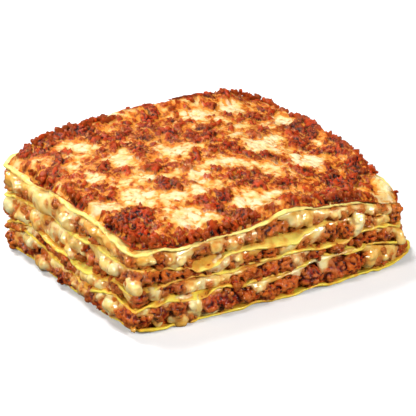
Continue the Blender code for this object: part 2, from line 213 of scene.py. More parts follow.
FRONT_SHARE = (
    (0.70, 0.62, 0.80, 0.45, 0.70, 0.85, 0.75, 0.88, 0.92, 0.90, 0.80, 0.55, 0.62),
    (0.55, 0.72, 0.85, 0.30, 0.62, 0.82, 0.85, 0.80, 0.85, 0.88, 0.90, 0.60, 0.66),
    (0.62, 0.85, 0.80, 0.85, 0.80, 0.35, 0.85, 0.30, 0.80, 0.85, 0.72, 0.50, 0.60),
    (0.30, 0.72, 0.25, 0.75, 0.60, 0.70, 0.85, 0.45, 0.40, 0.70, 0.30, 0.35, 0.75),
)
LEFT_SHARE = (
    (0.70, 0.88, 0.90, 0.60, 0.75, 0.62, 0.85, 0.45, 0.80, 0.75),
    (0.55, 0.30, 0.85, 0.62, 0.70, 0.90, 0.80, 0.40, 0.85, 0.85),
    (0.62, 0.80, 0.35, 0.85, 0.62, 0.45, 0.30, 0.80, 0.75, 0.40),
    (0.30, 0.62, 0.40, 0.55, 0.35, 0.30, 0.70, 0.62, 0.25, 0.60),
)
BACK_SHARE = 0.62
SHARE_LIMITS = (0.15, 0.9)
CALM_REACH = 0.8
WAVY_REACH = 0.975
FAN_STATIONS = (0.95, 1.13, 1.4)
SHEET_FAN = (13.5, 6.0, 2.0, 0.0, 0.0)
FILLING_FAN = (8.5, 5.5, 1.5, 0.0)
print(SHEETS, "sheets and", SHEETS - 1, "fillings")

# %% [markdown]
# ## Plan and heights
#
# These functions turn a station and a reach into a place in plan and a height. A curve
# through the measured heights has no kinks, as a cooked sheet has none. Each sheet is
# pushed up where the one below would come too near.

# %% Plan and height functions


def unit_square(station):
    """The point of a square from -1 to 1 that a station names."""
    side = np.floor(station).astype(int) % 4
    along = 2 * (station % 1.0) - 1
    one = np.ones_like(along)
    return np.choose(side, (along, one, -along, -one)), np.choose(side, (-one, along, one, -along))


def plan_point(station, reach, outward=0.0):
    """The plan position for a station and reach, moved outward by some millimetres."""
    x, y = unit_square(station)
    rounding = (np.abs(x) ** SQUARENESS + np.abs(y) ** SQUARENESS) ** (-1 / SQUARENESS)
    out_x, out_y = (c * np.abs(c) ** CORNER_TURN for c in (x, y))
    length = np.hypot(out_x, out_y)
    across = SHIFT_X + HALF_WIDTH * x * rounding * reach + out_x / length * outward
    deep = SHIFT_Y + HALF_DEPTH * y * rounding * reach + out_y / length * outward
    return across, deep


def curve(place, values):
    """A smooth curve through values at even steps from 0 to 1."""
    values = np.asarray(values, float)
    ends = np.concatenate([[2 * values[0] - values[1]], values, [2 * values[-1] - values[-2]]])
    spot = np.clip(place, 0, 1) * (len(values) - 1)
    low = np.minimum(spot.astype(int), len(values) - 2)
    t = spot - low
    a, b, c, d = (ends[low + k] for k in range(4))
    return b + 0.5 * t * (c - a + t * (2 * a - 5 * b + 4 * c - d + t * (3 * (b - c) + d - a)))


def hidden_wave(station, seed):
    """The small waves of the right and back edges, which die out at the edges' ends."""
    if seed == 0:
        return 0 * station
    wave = np.sin(math.tau * (2.3 * station + 0.37 * seed))
    wave += 0.7 * np.sin(math.tau * (4.1 * station + 0.71 * seed))
    return HIDDEN_WAVE * wave * np.sin(math.pi * (station % 1.0))


def round_edge(station, front, left, right_end, rises, seed):
    """A value round the whole edge: listed on the front and left, worked out elsewhere."""
    along = station % 1.0
    swell = 1 - np.abs(2 * along - 1) ** 3
    wave = hidden_wave(station, seed)
    right = front[-1] + (right_end - front[-1]) * along + wave + rises[0] * swell
    back = right_end + (left[-1] - right_end) * along + wave + rises[1] * swell
    sides = (curve(along, front), right, back, curve(along, left[::-1]))
    return np.choose(np.floor(station).astype(int) % 4, sides)


def middle_height(sheet, x, y):
    """The calm height of a sheet inside its wavy rim, for x and y from -1 to 1."""
    front = FRONT_HEIGHTS[sheet]
    left = LEFT_HEIGHTS[sheet]
    across = (x + 1) / 2
    deep = (y + 1) / 2
    near = front[0] * (1 - across) + front[-1] * across
    far = left[-1] * (1 - across) + BACK_CORNER[sheet] * across
    dome = (1 - x * x) * (1 - y * y) + 0.5 * (1 - x * x) * deep
    level = near * (1 - deep) + far * deep + MIDDLE_RISE[sheet] * dome
    return level if sheet else 0 * level + PASTA / 2


def lone_height(sheet, station, reach):
    """The height of one sheet before its neighbours push it up."""
    x, y = unit_square(station)
    rises = (RIGHT_RISE[sheet], BACK_RISE[sheet])
    ends = (FRONT_HEIGHTS[sheet], LEFT_HEIGHTS[sheet], BACK_CORNER[sheet])
    rim = round_edge(station, *ends, rises, sheet)
    if sheet == 0:
        rim = np.maximum(rim, PASTA / 2)
    fade = ease(reach, CALM_REACH, WAVY_REACH)
    return middle_height(sheet, x * reach, y * reach) + (rim - middle_height(sheet, x, y)) * fade


def sheet_height(sheet, station, reach):
    """The height of the middle of a sheet, clear of the sheets below it."""
    level = lone_height(0, station, reach)
    for above in range(1, sheet + 1):
        level = np.maximum(lone_height(above, station, reach), level + LEAST_PITCH)
    return level


def ragu_share(filling, station, reach):
    """The part of a filling's height that is ragu."""
    ends = (FRONT_SHARE[filling], LEFT_SHARE[filling], BACK_SHARE)
    edge = np.clip(round_edge(station, *ends, (0, 0), filling + 7), *SHARE_LIMITS)
    return BACK_SHARE + (edge - BACK_SHARE) * ease(reach, CALM_REACH, WAVY_REACH)


def filling_floor(filling, station, reach):
    """The height of the top of the sheet that a filling lies on."""
    return sheet_height(filling, station, reach) + PASTA / 2


def filling_roof(filling, station, reach):
    """The height of the underside of the sheet that covers a filling."""
    return sheet_height(filling + 1, station, reach) - PASTA / 2


def fan(station):
    """How far the front right corner fans out, from 0 to 1."""
    return np.interp(station, FAN_STATIONS, (0, 1, 0), left=0, right=0)


def wander(station, seed, size):
    """A smooth in-and-out round the edge, which meets itself after one turn."""
    turn = station * math.pi / 2
    value = np.sin(3 * turn + seed) + 0.7 * np.sin(7 * turn + 2.1 * seed)
    return size * (value + 0.5 * np.sin(13 * turn + 4.3 * seed)) / 1.6


# %% [markdown]
# ## From rows of points to a mesh
#
# Each sheet is a closed skin that starts at a point in the middle below, runs out to the
# rim, turns round it and comes back to a point in the middle above. A filling shows only
# its rim, so it is a closed band, like a bent tube. The rows of points are worked out
# first, and these helpers join them into faces.

# %% Mesh helpers
COLUMNS = 600
STATIONS = np.arange(COLUMNS) * 4.0 / COLUMNS


def add_mark(mesh, name, values):
    """A named number on each point of a mesh, for a material to read."""
    layer = mesh.attributes.new(name, "FLOAT", "POINT")
    layer.data.foreach_set("value", np.asarray(values, np.float32))


def new_piece(name, points, faces, marks=None):
    """An object from points in millimetres, faces, and named values for each point."""
    mesh = bpy.data.meshes.new(name)
    mesh.from_pydata((np.asarray(points) * MM).tolist(), [], faces)
    for mark, values in (marks or {}).items():
        add_mark(mesh, mark, values)
    mesh.shade_smooth()
    piece = bpy.data.objects.new(name, mesh)
    bpy.context.collection.objects.link(piece)
    return piece


def joined_rings(rings):
    """Faces between each ring of point numbers and the next one."""
    faces = []
    for near, far in zip(rings, rings[1:]):
        faces += np.stack([near, np.roll(near, -1), np.roll(far, -1), far], 1).tolist()
    return faces


def wrapped_skin(name, rows, marks=None):
    """A closed skin from rows of (x, y, z) round the edge, from below to above."""
    rows = [np.stack(np.broadcast_arrays(*row), 1) for row in rows]
    rings = 1 + np.arange(len(rows) * COLUMNS).reshape(-1, COLUMNS)
    faces = joined_rings(rings)
    first, last = rings[0].tolist(), rings[-1].tolist()
    for column in range(COLUMNS):
        after = (column + 1) % COLUMNS
        faces.append((0, first[after], first[column]))
        faces.append((last[-1] + 1, last[column], last[after]))
    points = [rows[0].mean(0)[None], *rows, rows[-1].mean(0)[None]]
    return new_piece(name, np.concatenate(points), faces, marks)


def rim_band(name, rows):
    """A closed band round the slice from rows of (x, y, z) round its cross-section."""
    rows = [np.stack(np.broadcast_arrays(*row), 1) for row in rows]
    rings = np.arange(len(rows) * COLUMNS).reshape(-1, COLUMNS)
    return new_piece(name, np.concatenate(rows), joined_rings([*rings, rings[0]]))


# %% [markdown]
# ## Relief, cavities and the last touch
#
# A smooth skin becomes food when noise moves each of its points along the normal. Pits and
# peaks then need a mark of their own, because the materials paint shade into the pits and
# light onto the peaks, and sauce collects in the pits: a point that lies below the smoothed
# surface is in a pit. Last, every piece is kept inside the CAD box, rides on the one body
# and takes the place of its CAD node.

# %% Relief and finish helpers
def table_of(items, key, width=3, kind=np.float32):
    """One value of every vertex, normal or edge of a mesh, as the rows of an array."""
    values = np.empty(len(items) * width, kind)
    items.foreach_get(key, values)
    return values.reshape(-1, width)


def move_points(mesh, points):
    """Puts the points of a mesh at new places, in metres."""
    mesh.vertices.foreach_set("co", points.astype(np.float32).ravel())
    mesh.update()


def roughen(piece, depth, size, seed, noise=rough_noise):
    """Moves each point in or out along its normal by noise of three octaves."""
    mesh = piece.data
    points = table_of(mesh.vertices, "co").astype(float)
    height = noise(*(points.T / MM), size, seed, 3)
    normals = table_of(mesh.vertex_normals, "vector")
    move_points(mesh, points + normals * (height * depth * MM)[:, None])


def mark_cavities(piece, rounds, depth):
    """Marks each point by how it lies to the smoothed surface: 1 in a pit, 0 on a peak."""
    mesh = piece.data
    count = len(mesh.vertices)
    points = table_of(mesh.vertices, "co")
    start, end = table_of(mesh.edges, "vertices", 2, np.int32).T
    number = np.bincount(start, minlength=count) + np.bincount(end, minlength=count)
    smooth = points.astype(float)
    for _ in range(rounds):
        columns = []
        for value in smooth.T:
            total = np.bincount(start, value[end], count) + np.bincount(end, value[start], count)
            columns.append(total / np.maximum(number, 1))
        smooth = np.stack(columns, 1)
    normals = table_of(mesh.vertex_normals, "vector")
    below = ((smooth - points) * normals).sum(1) / (depth * MM)
    add_mark(mesh, "cavity", np.clip(0.5 + 0.5 * below, 0, 1))


def finish_piece(piece, slot, *nodes):
    """Keeps a piece inside the CAD box and lets it ride and stand for its CAD nodes."""
    points = table_of(piece.data.vertices, "co")
    move_points(piece.data, np.clip(points, np.array(cad_low), np.array(cad_high)))
    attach(piece, "root")
    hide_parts(*nodes)
    print(piece.name, len(piece.data.polygons), "faces")


# %% [markdown]
# ## Painting with nodes
#
# A material in Blender is a tree of nodes that feed each other. Written out, each node
# takes several lines, so this helper adds one and feeds its sockets in one call. A
# material then reads like a recipe: a first colour from noise, and more colours laid over
# it where a mark or a finer noise asks for them.

# %% Material helpers
class Paint:
    """A small helper that adds nodes to a material and joins them."""

    def __init__(self, name):
        self.material = bpy.data.materials.new(name)
        self.material.use_nodes = True
        self.tree = self.material.node_tree
        self.shader = self.tree.nodes["Principled BSDF"]
        self.place = self.node("TexCoord", {}, "Object")

    def feed(self, socket, value):
        """Joins a socket to another one, or sets it to a number or a colour."""
        if hasattr(value, "links"):
            self.tree.links.new(value, socket)
        else:
            socket.default_value = (*value, 1.0) if socket.type == "RGBA" else value

    def node(self, kind, values, output=0, **settings):
        """One output of a new node whose settings are made and whose inputs are fed."""
        node = self.tree.nodes.new("ShaderNode" + kind)
        for name, setting in settings.items():
            setattr(node, name, setting)
        for name, value in values.items():
            self.feed(node.inputs[name], value)
        return node.outputs[output]

    def noise(self, size, detail=3.0, roughness=0.55, distortion=0.0):
        """Noise whose bumps are some millimetres wide."""
        values = {"Vector": self.place, "Scale": 1.0 / (size * MM), "Detail": detail}
        values.update(Roughness=roughness, Distortion=distortion)
        return self.node("TexNoise", values, "Fac")

    def cells(self, size):
        """A random number for each crumb-sized cell."""
        return self.node("TexVoronoi", {"Vector": self.place, "Scale": 1.0 / (size * MM)}, "Color")

    def mark(self, name):
        """A number that the points of the mesh carry."""
        return self.node("Attribute", {}, "Fac", attribute_name=name)

    def plus(self, first, second):
        return self.node("Math", {0: first, 1: second}, operation="ADD")

    def times(self, first, second):
        return self.node("Math", {0: first, 1: second}, operation="MULTIPLY")

    def ragged(self, name, size, detail):
        """A mark whose border noise makes ragged."""
        return self.plus(self.mark(name), self.plus(self.noise(size, detail), -0.5))

    def ramp(self, value, *stops):
        """Colours at places from 0 to 1, as (place, (red, green, blue))."""
        colours = self.node("ValToRGB", {"Fac": value}, "Color")
        ramp = colours.node.color_ramp
        while len(ramp.elements) < len(stops):
            ramp.elements.new(0.5)
        for element, (place, colour) in zip(ramp.elements, stops):
            element.position = place
            element.color = (*colour, 1.0)
        return colours

    def step(self, value, low, high, most=1.0):
        """A soft step from 0, where the value is low, to the most, where it is high."""
        values = {"Value": value, "From Min": low, "From Max": high, "To Max": most}
        return self.node("MapRange", values, "Result", interpolation_type="SMOOTHSTEP")

    def mix(self, factor, first, second):
        """A colour between two others."""
        return self.node("Mix", {"Factor": factor, 6: first, 7: second}, 2, data_type="RGBA")

    def over(self, base, colour, value, low, high, most=1.0):
        """A base with another colour laid over it as a value goes from low to high."""
        return self.mix(self.step(value, low, high, most), base, colour)

    def bump(self, *heights):
        """Bumps from (height, depth in millimetres) pairs, one on the other."""
        below = {}
        for height, depth in heights:
            values = {"Height": height, "Distance": depth * MM, **below}
            below = {"Normal": self.node("Bump", values, "Normal")}
        self.set(Coat_Normal=below["Normal"], **below)

    def set(self, **values):
        """Feeds the shader, whose inputs have spaces in their names for underscores."""
        for name, value in values.items():
            self.feed(self.shader.inputs[name.replace("_", " ")], value)

    def wet(self, weight, roughness, tint):
        """A film of oil or sauce: a weak clear one, and a shine in the oil's own colour."""
        self.set(Coat_Weight=weight, Coat_Roughness=roughness, Specular_Tint=tint)

    def soften(self, weight, depth, radii):
        """Light that enters and leaves again, up to a depth in millimetres."""
        self.set(Subsurface_Weight=weight, Subsurface_Scale=depth * MM, Subsurface_Radius=radii)


# %% [markdown]
# ## Pasta material
#
# Cooked egg pasta is pale yellow, lets a little light in and has a thin film of oil. A
# broad noise makes its paler and deeper places. Marks on the points say how near they are
# to the cut edge and to the mince: the cut edge gets painted light, which makes it a brighter
# yellow, and red specks, and the mince gives the tomato stains.

# %% Pasta material
def pasta_material():
    paint = Paint("pasta")
    colour = paint.ramp(
        paint.noise(9.0, 4.0),
        (0.34, (0.74, 0.40, 0.012)),
        (0.48, (0.93, 0.62, 0.03)),
        (0.66, (0.98, 0.77, 0.09)),
    )
    edge = paint.mark("edge")
    # Painted light: the cut edge is brightened to a lit yellow.
    colour = paint.over(colour, (0.97, 0.74, 0.10), edge, 0.7, 1.0, 0.45)
    colour = paint.mix(paint.times(paint.mark("pale"), 0.6), colour, (0.97, 0.80, 0.33))
    colour = paint.over(colour, (0.78, 0.30, 0.03), paint.ragged("oil", 3.0, 4.0), 0.45, 1.0, 0.8)
    speck = paint.step(paint.noise(1.6, 3.0), 0.64, 0.72, 0.6)
    colour = paint.mix(paint.times(speck, edge), colour, (0.72, 0.20, 0.02))
    paint.set(Base_Color=colour, Roughness=0.35, Specular_IOR_Level=0.4)
    paint.wet(0.2, 0.1, (1.0, 0.85, 0.4))
    paint.soften(0.4, 1.4, (1.0, 0.7, 0.3))
    paint.bump((paint.noise(2.2), 0.25), (paint.noise(0.5), 0.05))
    return paint.material


PASTA_LOOK = pasta_material()

# %% [markdown]
# ## Pasta sheets
#
# Each sheet is a long wavy ribbon at its cut edge and nearly flat inside, where nobody
# sees it. Extra rows near the rim make the edge round, and small noise moves it up, down,
# in and out, as a knife leaves it. Here and there the edge lifts or hangs down, and a
# sheet draws back where a drip of sauce runs over it.

# %% Pasta sheets
SHEET_REACHES = (0.25, 0.5, 0.7, 0.8, 0.85, 0.9, 0.93, 0.955, 0.975, 0.99)
RIM_STEPS = 7
SHEET_WANDER = 1.0
EDGE_RUFFLE = 0.75
RIM_NOISE = 0.3
SHEET_GRAIN = 0.24
UNEVENNESS = 0.3
RIM_OUT = 0.2
LIP_OUT = 0.3
LIP_LIFT = 0.7
LIP_DROOP = (0.0, 1.7, 1.8, 1.8, 0.5)
LEFT_DROOP = 0.45
PALENESS = (0.0, 0.15, 0.3, 0.45, 1.0)
TOP_DRIP = 3.31
INNER_DRIP = 0.83
SHEET_DRAW = 3.4
HIDDEN_EDGE = 1.6
DRAW_WIDTH = 11.0
SHEET_DRIPS = ((), (), (), (TOP_DRIP, INNER_DRIP), (TOP_DRIP,))


def behind(drips, station):
    """How much a layer draws back from the rim behind some drips, from 0 to 1."""
    drawn = 0 * station
    for place in drips:
        away = (station - place) * 2 * HALF_DEPTH / DRAW_WIDTH
        drawn = drawn + np.exp(-away * away)
    return drawn


def sheet_ruffle(sheet, station):
    """The small ups and downs of a cut edge."""
    x, y = plan_point(station, 1.0)
    ruffle = rough_noise(x, y, 9.0 * sheet, 6.0, sheet, 3) * EDGE_RUFFLE
    return np.maximum(ruffle, 0) if sheet == 0 else ruffle


def sheet_outward(sheet, station):
    """How far the rim of a sheet stands out from its plain outline."""
    x, y = plan_point(station, 1.0)
    drawn = SHEET_DRAW * behind(SHEET_DRIPS[sheet], station)
    if sheet == 0:
        drawn = drawn + HIDDEN_EDGE * (ease(station, 2.9, 3.2) + 1 - ease(station, 0.2, 0.6))
    sway = wander(station, 1.7 * sheet, SHEET_WANDER)
    return sway - drawn + RIM_NOISE * soft_noise(x, y, sheet, 3.0)


def sheet_lip(sheet, station):
    """How far the cut edge lifts, or hangs down where it is negative."""
    x, y = plan_point(station, 1.0)
    bend = soft_noise(x, y, 31.0 + 9.0 * sheet, 12.0, sheet + 20)
    droop = LIP_DROOP[sheet] * np.where(station > 3, LEFT_DROOP, 1.0)
    return LIP_LIFT * ease(-bend, 0.1, 0.6) - droop * ease(bend, 0.05, 0.5)


def pasta_sheet(sheet):
    """One sheet: rows of points out below, round the rim and back above."""
    station = STATIONS
    lip = sheet_lip(sheet, station)
    rim_out = sheet_outward(sheet, station) + RIM_OUT + LIP_OUT * np.abs(lip)
    ruffle = sheet_ruffle(sheet, station)
    x, y = plan_point(station, 1.0)
    half = PASTA / 2 * (1 + UNEVENNESS * soft_noise(x, y, 4.0 + sheet, 4.0))
    below = []
    above = []
    for reach in SHEET_REACHES:
        swing = ease(reach, 0.9, 1.0)
        x, y = plan_point(station, reach, rim_out * swing)
        x = x + SHEET_FAN[sheet] * fan(station) * ease(reach, 0.8, 1.0)
        z = sheet_height(sheet, station, reach) + ruffle * swing + lip * ease(reach, 0.94, 1.0)
        below.append((x, y, np.maximum(z - half, 0.0) if sheet == 0 else z - half))
        above.append((x, y, z + half))
    rim = []
    for step in range(RIM_STEPS):
        angle = math.pi * ((step + 0.5) / RIM_STEPS - 0.5)
        out = rim_out + 0.5 * PASTA * (math.cos(angle) - 1)
        x, y = plan_point(station, 1.0, out)
        z = sheet_height(sheet, station, 1.0) + ruffle + lip + half * math.sin(angle)
        z = np.maximum(z, 0.0)
        rim.append((x + SHEET_FAN[sheet] * fan(station), y, z))
    rows = below + rim + above[::-1]
    # The edge mark, 1 on the rim, carries the painted light on the cut edge and the red specks near
    # it.
    inner = np.concatenate([[0.0], np.repeat(ease(np.array(SHEET_REACHES), 0.85, 0.99), COLUMNS)])
    edge = np.concatenate([inner, np.ones(RIM_STEPS * COLUMNS), inner[::-1]])
    pale = np.full(len(edge), PALENESS[sheet])
    piece = wrapped_skin(f"noodle_{sheet + 1}", rows, {"edge": edge, "pale": pale})
    piece.data.materials.append(PASTA_LOOK)
    roughen(piece, SHEET_GRAIN, 2.6, sheet)
    finish_piece(piece, "pasta", f"pasta_sheet_{sheet + 1}")
    return piece


noodles = [pasta_sheet(sheet) for sheet in range(SHEETS)]

# %% [markdown]
# ## Ragu material
#
# The mince is brown meat in an oily tomato sauce. Its colour runs from nearly black over
# brick red to orange where the oil collects, and it is milky where the white sauce touches
# it. Painted shade makes it nearly black in the pits, and painted light makes it orange on
# the peaks. The surface is wet, which a clear coat shows as small sharp highlights.

# %% Ragu material
def ragu_material():
    paint = Paint("ragu")
    broad = paint.plus(paint.noise(5.0, 4.0, 0.6), paint.times(paint.cells(2.2), 0.3))
    colour = paint.ramp(
        paint.plus(broad, -0.14),
        (0.36, (0.10, 0.003, 0.001)),
        (0.48, (0.26, 0.008, 0.001)),
        (0.60, (0.52, 0.028, 0.002)),
        (0.76, (0.80, 0.13, 0.006)),
    )
    cavity = paint.mark("cavity")
    fine = paint.noise(0.9, 3.0, 0.6)
    colour = paint.over(colour, (0.62, 0.14, 0.015), fine, 0.56, 0.75, 0.6)
    oily = paint.noise(8.0, 2.0)
    colour = paint.over(colour, (0.60, 0.11, 0.008), oily, 0.46, 0.58, 0.7)
    browned = paint.noise(10.0, 2.0, 0.5, 1.0)
    colour = paint.over(colour, (0.17, 0.012, 0.002), browned, 0.50, 0.62, 0.6)
    # Painted light: the peaks, where the cavity mark is low, turn a brighter orange.
    colour = paint.over(colour, (0.70, 0.19, 0.025), cavity, 0.4, 0.05, 0.5)
    milky = paint.times(paint.mark("light"), paint.step(paint.noise(3.5, 3.0), 0.4, 0.6))
    colour = paint.mix(paint.times(milky, 0.6), colour, (0.66, 0.20, 0.022))
    colour = paint.over(colour, (0.76, 0.32, 0.07), paint.ragged("milk", 2.2, 3.0), 0.5, 1.2, 0.5)
    # Painted shade: the pits turn nearly black.
    colour = paint.over(colour, (0.065, 0.005, 0.001), cavity, 0.52, 0.82)
    paint.set(Base_Color=colour, Roughness=0.22, Specular_IOR_Level=0.3)
    paint.wet(0.7, 0.04, (1.0, 0.42, 0.22))
    paint.soften(0.05, 0.8, (1.0, 0.3, 0.12))
    paint.bump((paint.noise(1.4, 4.0, 0.65), 0.9), (paint.noise(0.5), 0.2))
    return paint.material


RAGU_LOOK = ragu_material()

# %% [markdown]
# ## Crumbs of mince
#
# Mince is hundreds of crumbs of nearly the same kind, which is what Geometry Nodes are
# for. A mesh of bare points says where they lie, with a size and a turn kept on each
# point. The node tree puts a ball on every point, makes them real, and then pushes their
# skin in and out with noise, so that no two crumbs are alike.

# %% Crumb tree
def crumb_tree():
    """The node group that makes crumbs, and the key of each of its inputs."""
    tree = bpy.data.node_groups.new("mince crumbs", "GeometryNodeTree")
    inputs = {"Geometry": "Geometry", "Roughness": "Float", "Grain": "Float"}
    inputs.update(Finish="Material", Detail="Int")
    keys = {}
    for name, kind in inputs.items():
        socket = tree.interface.new_socket(name, in_out="INPUT", socket_type="NodeSocket" + kind)
        keys[name] = socket.identifier
    tree.interface.new_socket("Geometry", in_out="OUTPUT", socket_type="NodeSocketGeometry")
    add = tree.nodes.new
    source, sink = add("NodeGroupInput"), add("NodeGroupOutput")
    ball, put = add("GeometryNodeMeshIcoSphere"), add("GeometryNodeInstanceOnPoints")
    size, turn = (add("GeometryNodeInputNamedAttribute") for _ in range(2))
    for node, name in ((size, "size"), (turn, "turn")):
        node.data_type = "FLOAT_VECTOR"
        node.inputs["Name"].default_value = name
    real, move = add("GeometryNodeRealizeInstances"), add("GeometryNodeSetPosition")
    noise, scale = add("ShaderNodeTexNoise"), add("ShaderNodeVectorMath")
    noise.inputs["Detail"].default_value = 2.0
    scale.operation = "SCALE"
    centre, strength = add("ShaderNodeMath"), add("ShaderNodeMath")
    centre.operation = "SUBTRACT"
    centre.inputs[1].default_value = 0.5
    strength.operation = "MULTIPLY"
    normal = add("GeometryNodeInputNormal")
    smooth, coat = add("GeometryNodeSetShadeSmooth"), add("GeometryNodeSetMaterial")
    links = (
        (source, "Geometry", put, "Points"),
        (source, "Detail", ball, "Subdivisions"),
        (ball, "Mesh", put, "Instance"),
        (size, "Attribute", put, "Scale"),
        (turn, "Attribute", put, "Rotation"),
        (put, "Instances", real, "Geometry"),
        (real, "Geometry", move, "Geometry"),
        (source, "Grain", noise, "Scale"),
        (noise, "Fac", centre, 0),
        (centre, 0, strength, 0),
        (source, "Roughness", strength, 1),
        (normal, "Normal", scale, 0),
        (strength, 0, scale, "Scale"),
        (scale, "Vector", move, "Offset"),
        (move, "Geometry", smooth, "Geometry"),
        (smooth, "Geometry", coat, "Geometry"),
        (source, "Finish", coat, "Material"),
        (coat, "Geometry", sink, "Geometry"),
    )
    for start, output, end, entry in links:
        tree.links.new(start.outputs[output], end.inputs[entry])
    return tree, keys


CRUMB_TREE, CRUMB_KEYS = crumb_tree()


def apply_modifiers(piece):
    """Works the modifiers of a piece into its mesh."""
    graph = bpy.context.evaluated_depsgraph_get()
    mesh = bpy.data.meshes.new_from_object(piece.evaluated_get(graph))
    piece.modifiers.clear()
    piece.data = mesh


def crumbs(name, centres, sizes, turns, finish, rough, grain, detail=3):
    """A plain mesh of crumbs at some centres, with half sizes in millimetres."""
    seeds = new_piece(name, centres, [])
    for key, values in (("size", np.asarray(sizes) * MM), ("turn", turns)):
        layer = seeds.data.attributes.new(key, "FLOAT_VECTOR", "POINT")
        layer.data.foreach_set("vector", np.asarray(values, np.float32).ravel())
    maker = seeds.modifiers.new("crumbs", "NODES")
    maker.node_group = CRUMB_TREE
    maker[CRUMB_KEYS["Roughness"]] = rough * MM
    maker[CRUMB_KEYS["Grain"]] = 1.0 / (grain * MM)
    maker[CRUMB_KEYS["Finish"]] = finish
    maker[CRUMB_KEYS["Detail"]] = detail
    apply_modifiers(seeds)
    return seeds


# %% [markdown]
# ## Melting pieces together
#
# A filling is a band and many lumps that go through each other. Joined and remeshed with
# small voxels they melt into one skin, the way sauce binds mince, and no lump shows a hard
# seam. Noise then gives the skin its grain back: folded noise for mince, and a calm one
# for sauce.

# %% Joining and remeshing
VOXEL = 0.46
SAUCE_VOXEL = 0.54
CAVITY_ROUNDS = 12
CAVITY_DEPTH = 0.35


def join(pieces, name):
    """One object from several, by Blender's own join."""
    with bpy.context.temp_override(
        active_object=pieces[0], selected_editable_objects=pieces, object=pieces[0]
    ):
        bpy.ops.object.join()
    pieces[0].name = name
    return pieces[0]


def melt(piece, voxel, smoothing, finish, rough, grain, seed, noise=rough_noise):
    """Remeshes a piece into one skin, smooths it and roughens it again."""
    remesh = piece.modifiers.new("remesh", "REMESH")
    remesh.mode = "VOXEL"
    remesh.voxel_size = voxel * MM
    remesh.use_smooth_shade = True
    if smoothing:
        smooth = piece.modifiers.new("smooth", "SMOOTH")
        smooth.iterations = smoothing
    apply_modifiers(piece)
    piece.data.materials.clear()
    piece.data.materials.append(finish)
    roughen(piece, rough, grain, seed, noise)
    mark_cavities(piece, CAVITY_ROUNDS, CAVITY_DEPTH)


# %% [markdown]
# ## What the cut sides show
#
# The largest lumps of mince and pillows of sauce were found in the photograph. Each is
# named by the pixel of its middle and its half width and half height in pixels. A ray
# through that pixel meets the cut side at its place on the slice. A lump is kept between
# its two sheets, apart from a tall drip, which hangs down over them. Smaller lumps are
# then strewn on the skin of each one, as no crumb is a smooth ball.

# %% What the cut sides show
SCALE = DISTANCE / FOCAL
CORNER_COLUMN = 137
SIDE_MINCE = (
    (22, 197, 6, 10), (7, 207, 4, 6), (47, 223, 7, 7), (56, 206, 6, 5), (78, 221, 6, 9),
    (93, 222, 6, 8), (122, 256, 10, 8), (48, 241, 8, 7), (92, 263, 7, 12), (127, 275, 8, 7),
    (12, 233, 7, 8), (52, 251, 10, 8), (65, 262, 6, 8), (115, 290, 8, 8), (28, 250, 8, 5),
    (61, 275, 12, 7), (91, 296, 10, 7), (125, 311, 9, 8), (158, 257, 5, 4), (187, 263, 4, 4),
    (200, 252, 8, 6), (273, 226, 6, 9), (320, 219, 8, 5), (380, 209, 10, 3), (396, 214, 3, 7),
    (150, 278, 9, 6), (168, 279, 10, 6), (184, 277, 8, 6), (252, 262, 7, 8), (268, 255, 7, 8),
    (303, 242, 6, 7), (330, 232, 9, 7), (343, 224, 7, 7), (145, 298, 9, 6), (177, 290, 8, 6),
    (237, 288, 5, 13), (252, 275, 9, 6), (273, 272, 9, 6), (291, 265, 9, 6), (160, 313, 9, 9),
    (179, 308, 7, 9), (208, 303, 9, 11), (226, 299, 10, 11), (244, 296, 8, 9), (268, 292, 9, 7),
    (288, 286, 9, 7), (312, 280, 10, 9), (333, 272, 10, 10), (352, 264, 10, 11), (385, 243, 10, 8),
    (372, 238, 8, 7), (318, 258, 9, 6), (340, 247, 9, 6),
)
SIDE_CREAM = (
    (12, 182, 8, 8), (9, 196, 5, 9), (40, 199, 10, 14), (67, 222, 9, 9), (108, 243, 9, 6),
    (98, 236, 6, 5), (22, 216, 9, 8), (36, 226, 7, 7), (75, 244, 9, 7), (72, 254, 5, 6),
    (108, 266, 10, 8), (28, 235, 8, 6), (88, 276, 9, 7), (98, 287, 6, 6), (130, 293, 8, 7),
    (42, 263, 9, 7), (84, 287, 7, 6), (110, 306, 8, 8), (145, 261, 9, 6), (174, 263, 10, 6),
    (217, 248, 7, 6), (238, 243, 8, 6), (256, 237, 9, 6), (300, 222, 12, 7), (338, 213, 8, 3),
    (359, 222, 7, 13), (382, 219, 12, 5), (218, 266, 13, 7), (241, 258, 7, 7), (288, 249, 12, 7),
    (356, 222, 8, 8), (155, 297, 4, 5), (195, 290, 9, 8), (220, 282, 11, 5), (182, 320, 12, 5),
    (195, 306, 5, 10), (260, 285, 6, 7), (370, 260, 4, 8), (400, 238, 5, 8), (300, 262, 6, 5),
)
OVERLAP = 0.2
HANGING = 1.3
HANGING_INSET = 0.3
FLATNESS = 0.9
CORNER_PUSH = 8


def on_side(column, row):
    """The point of the front or left cut side that a pixel of the photograph shows."""
    ray = sight(column, row)
    if column > CORNER_COLUMN:
        return EYE + ray * (SHIFT_Y - HALF_DEPTH - EYE[1]) / ray[1]
    return EYE + ray * (SHIFT_X - HALF_WIDTH - EYE[0]) / ray[0]


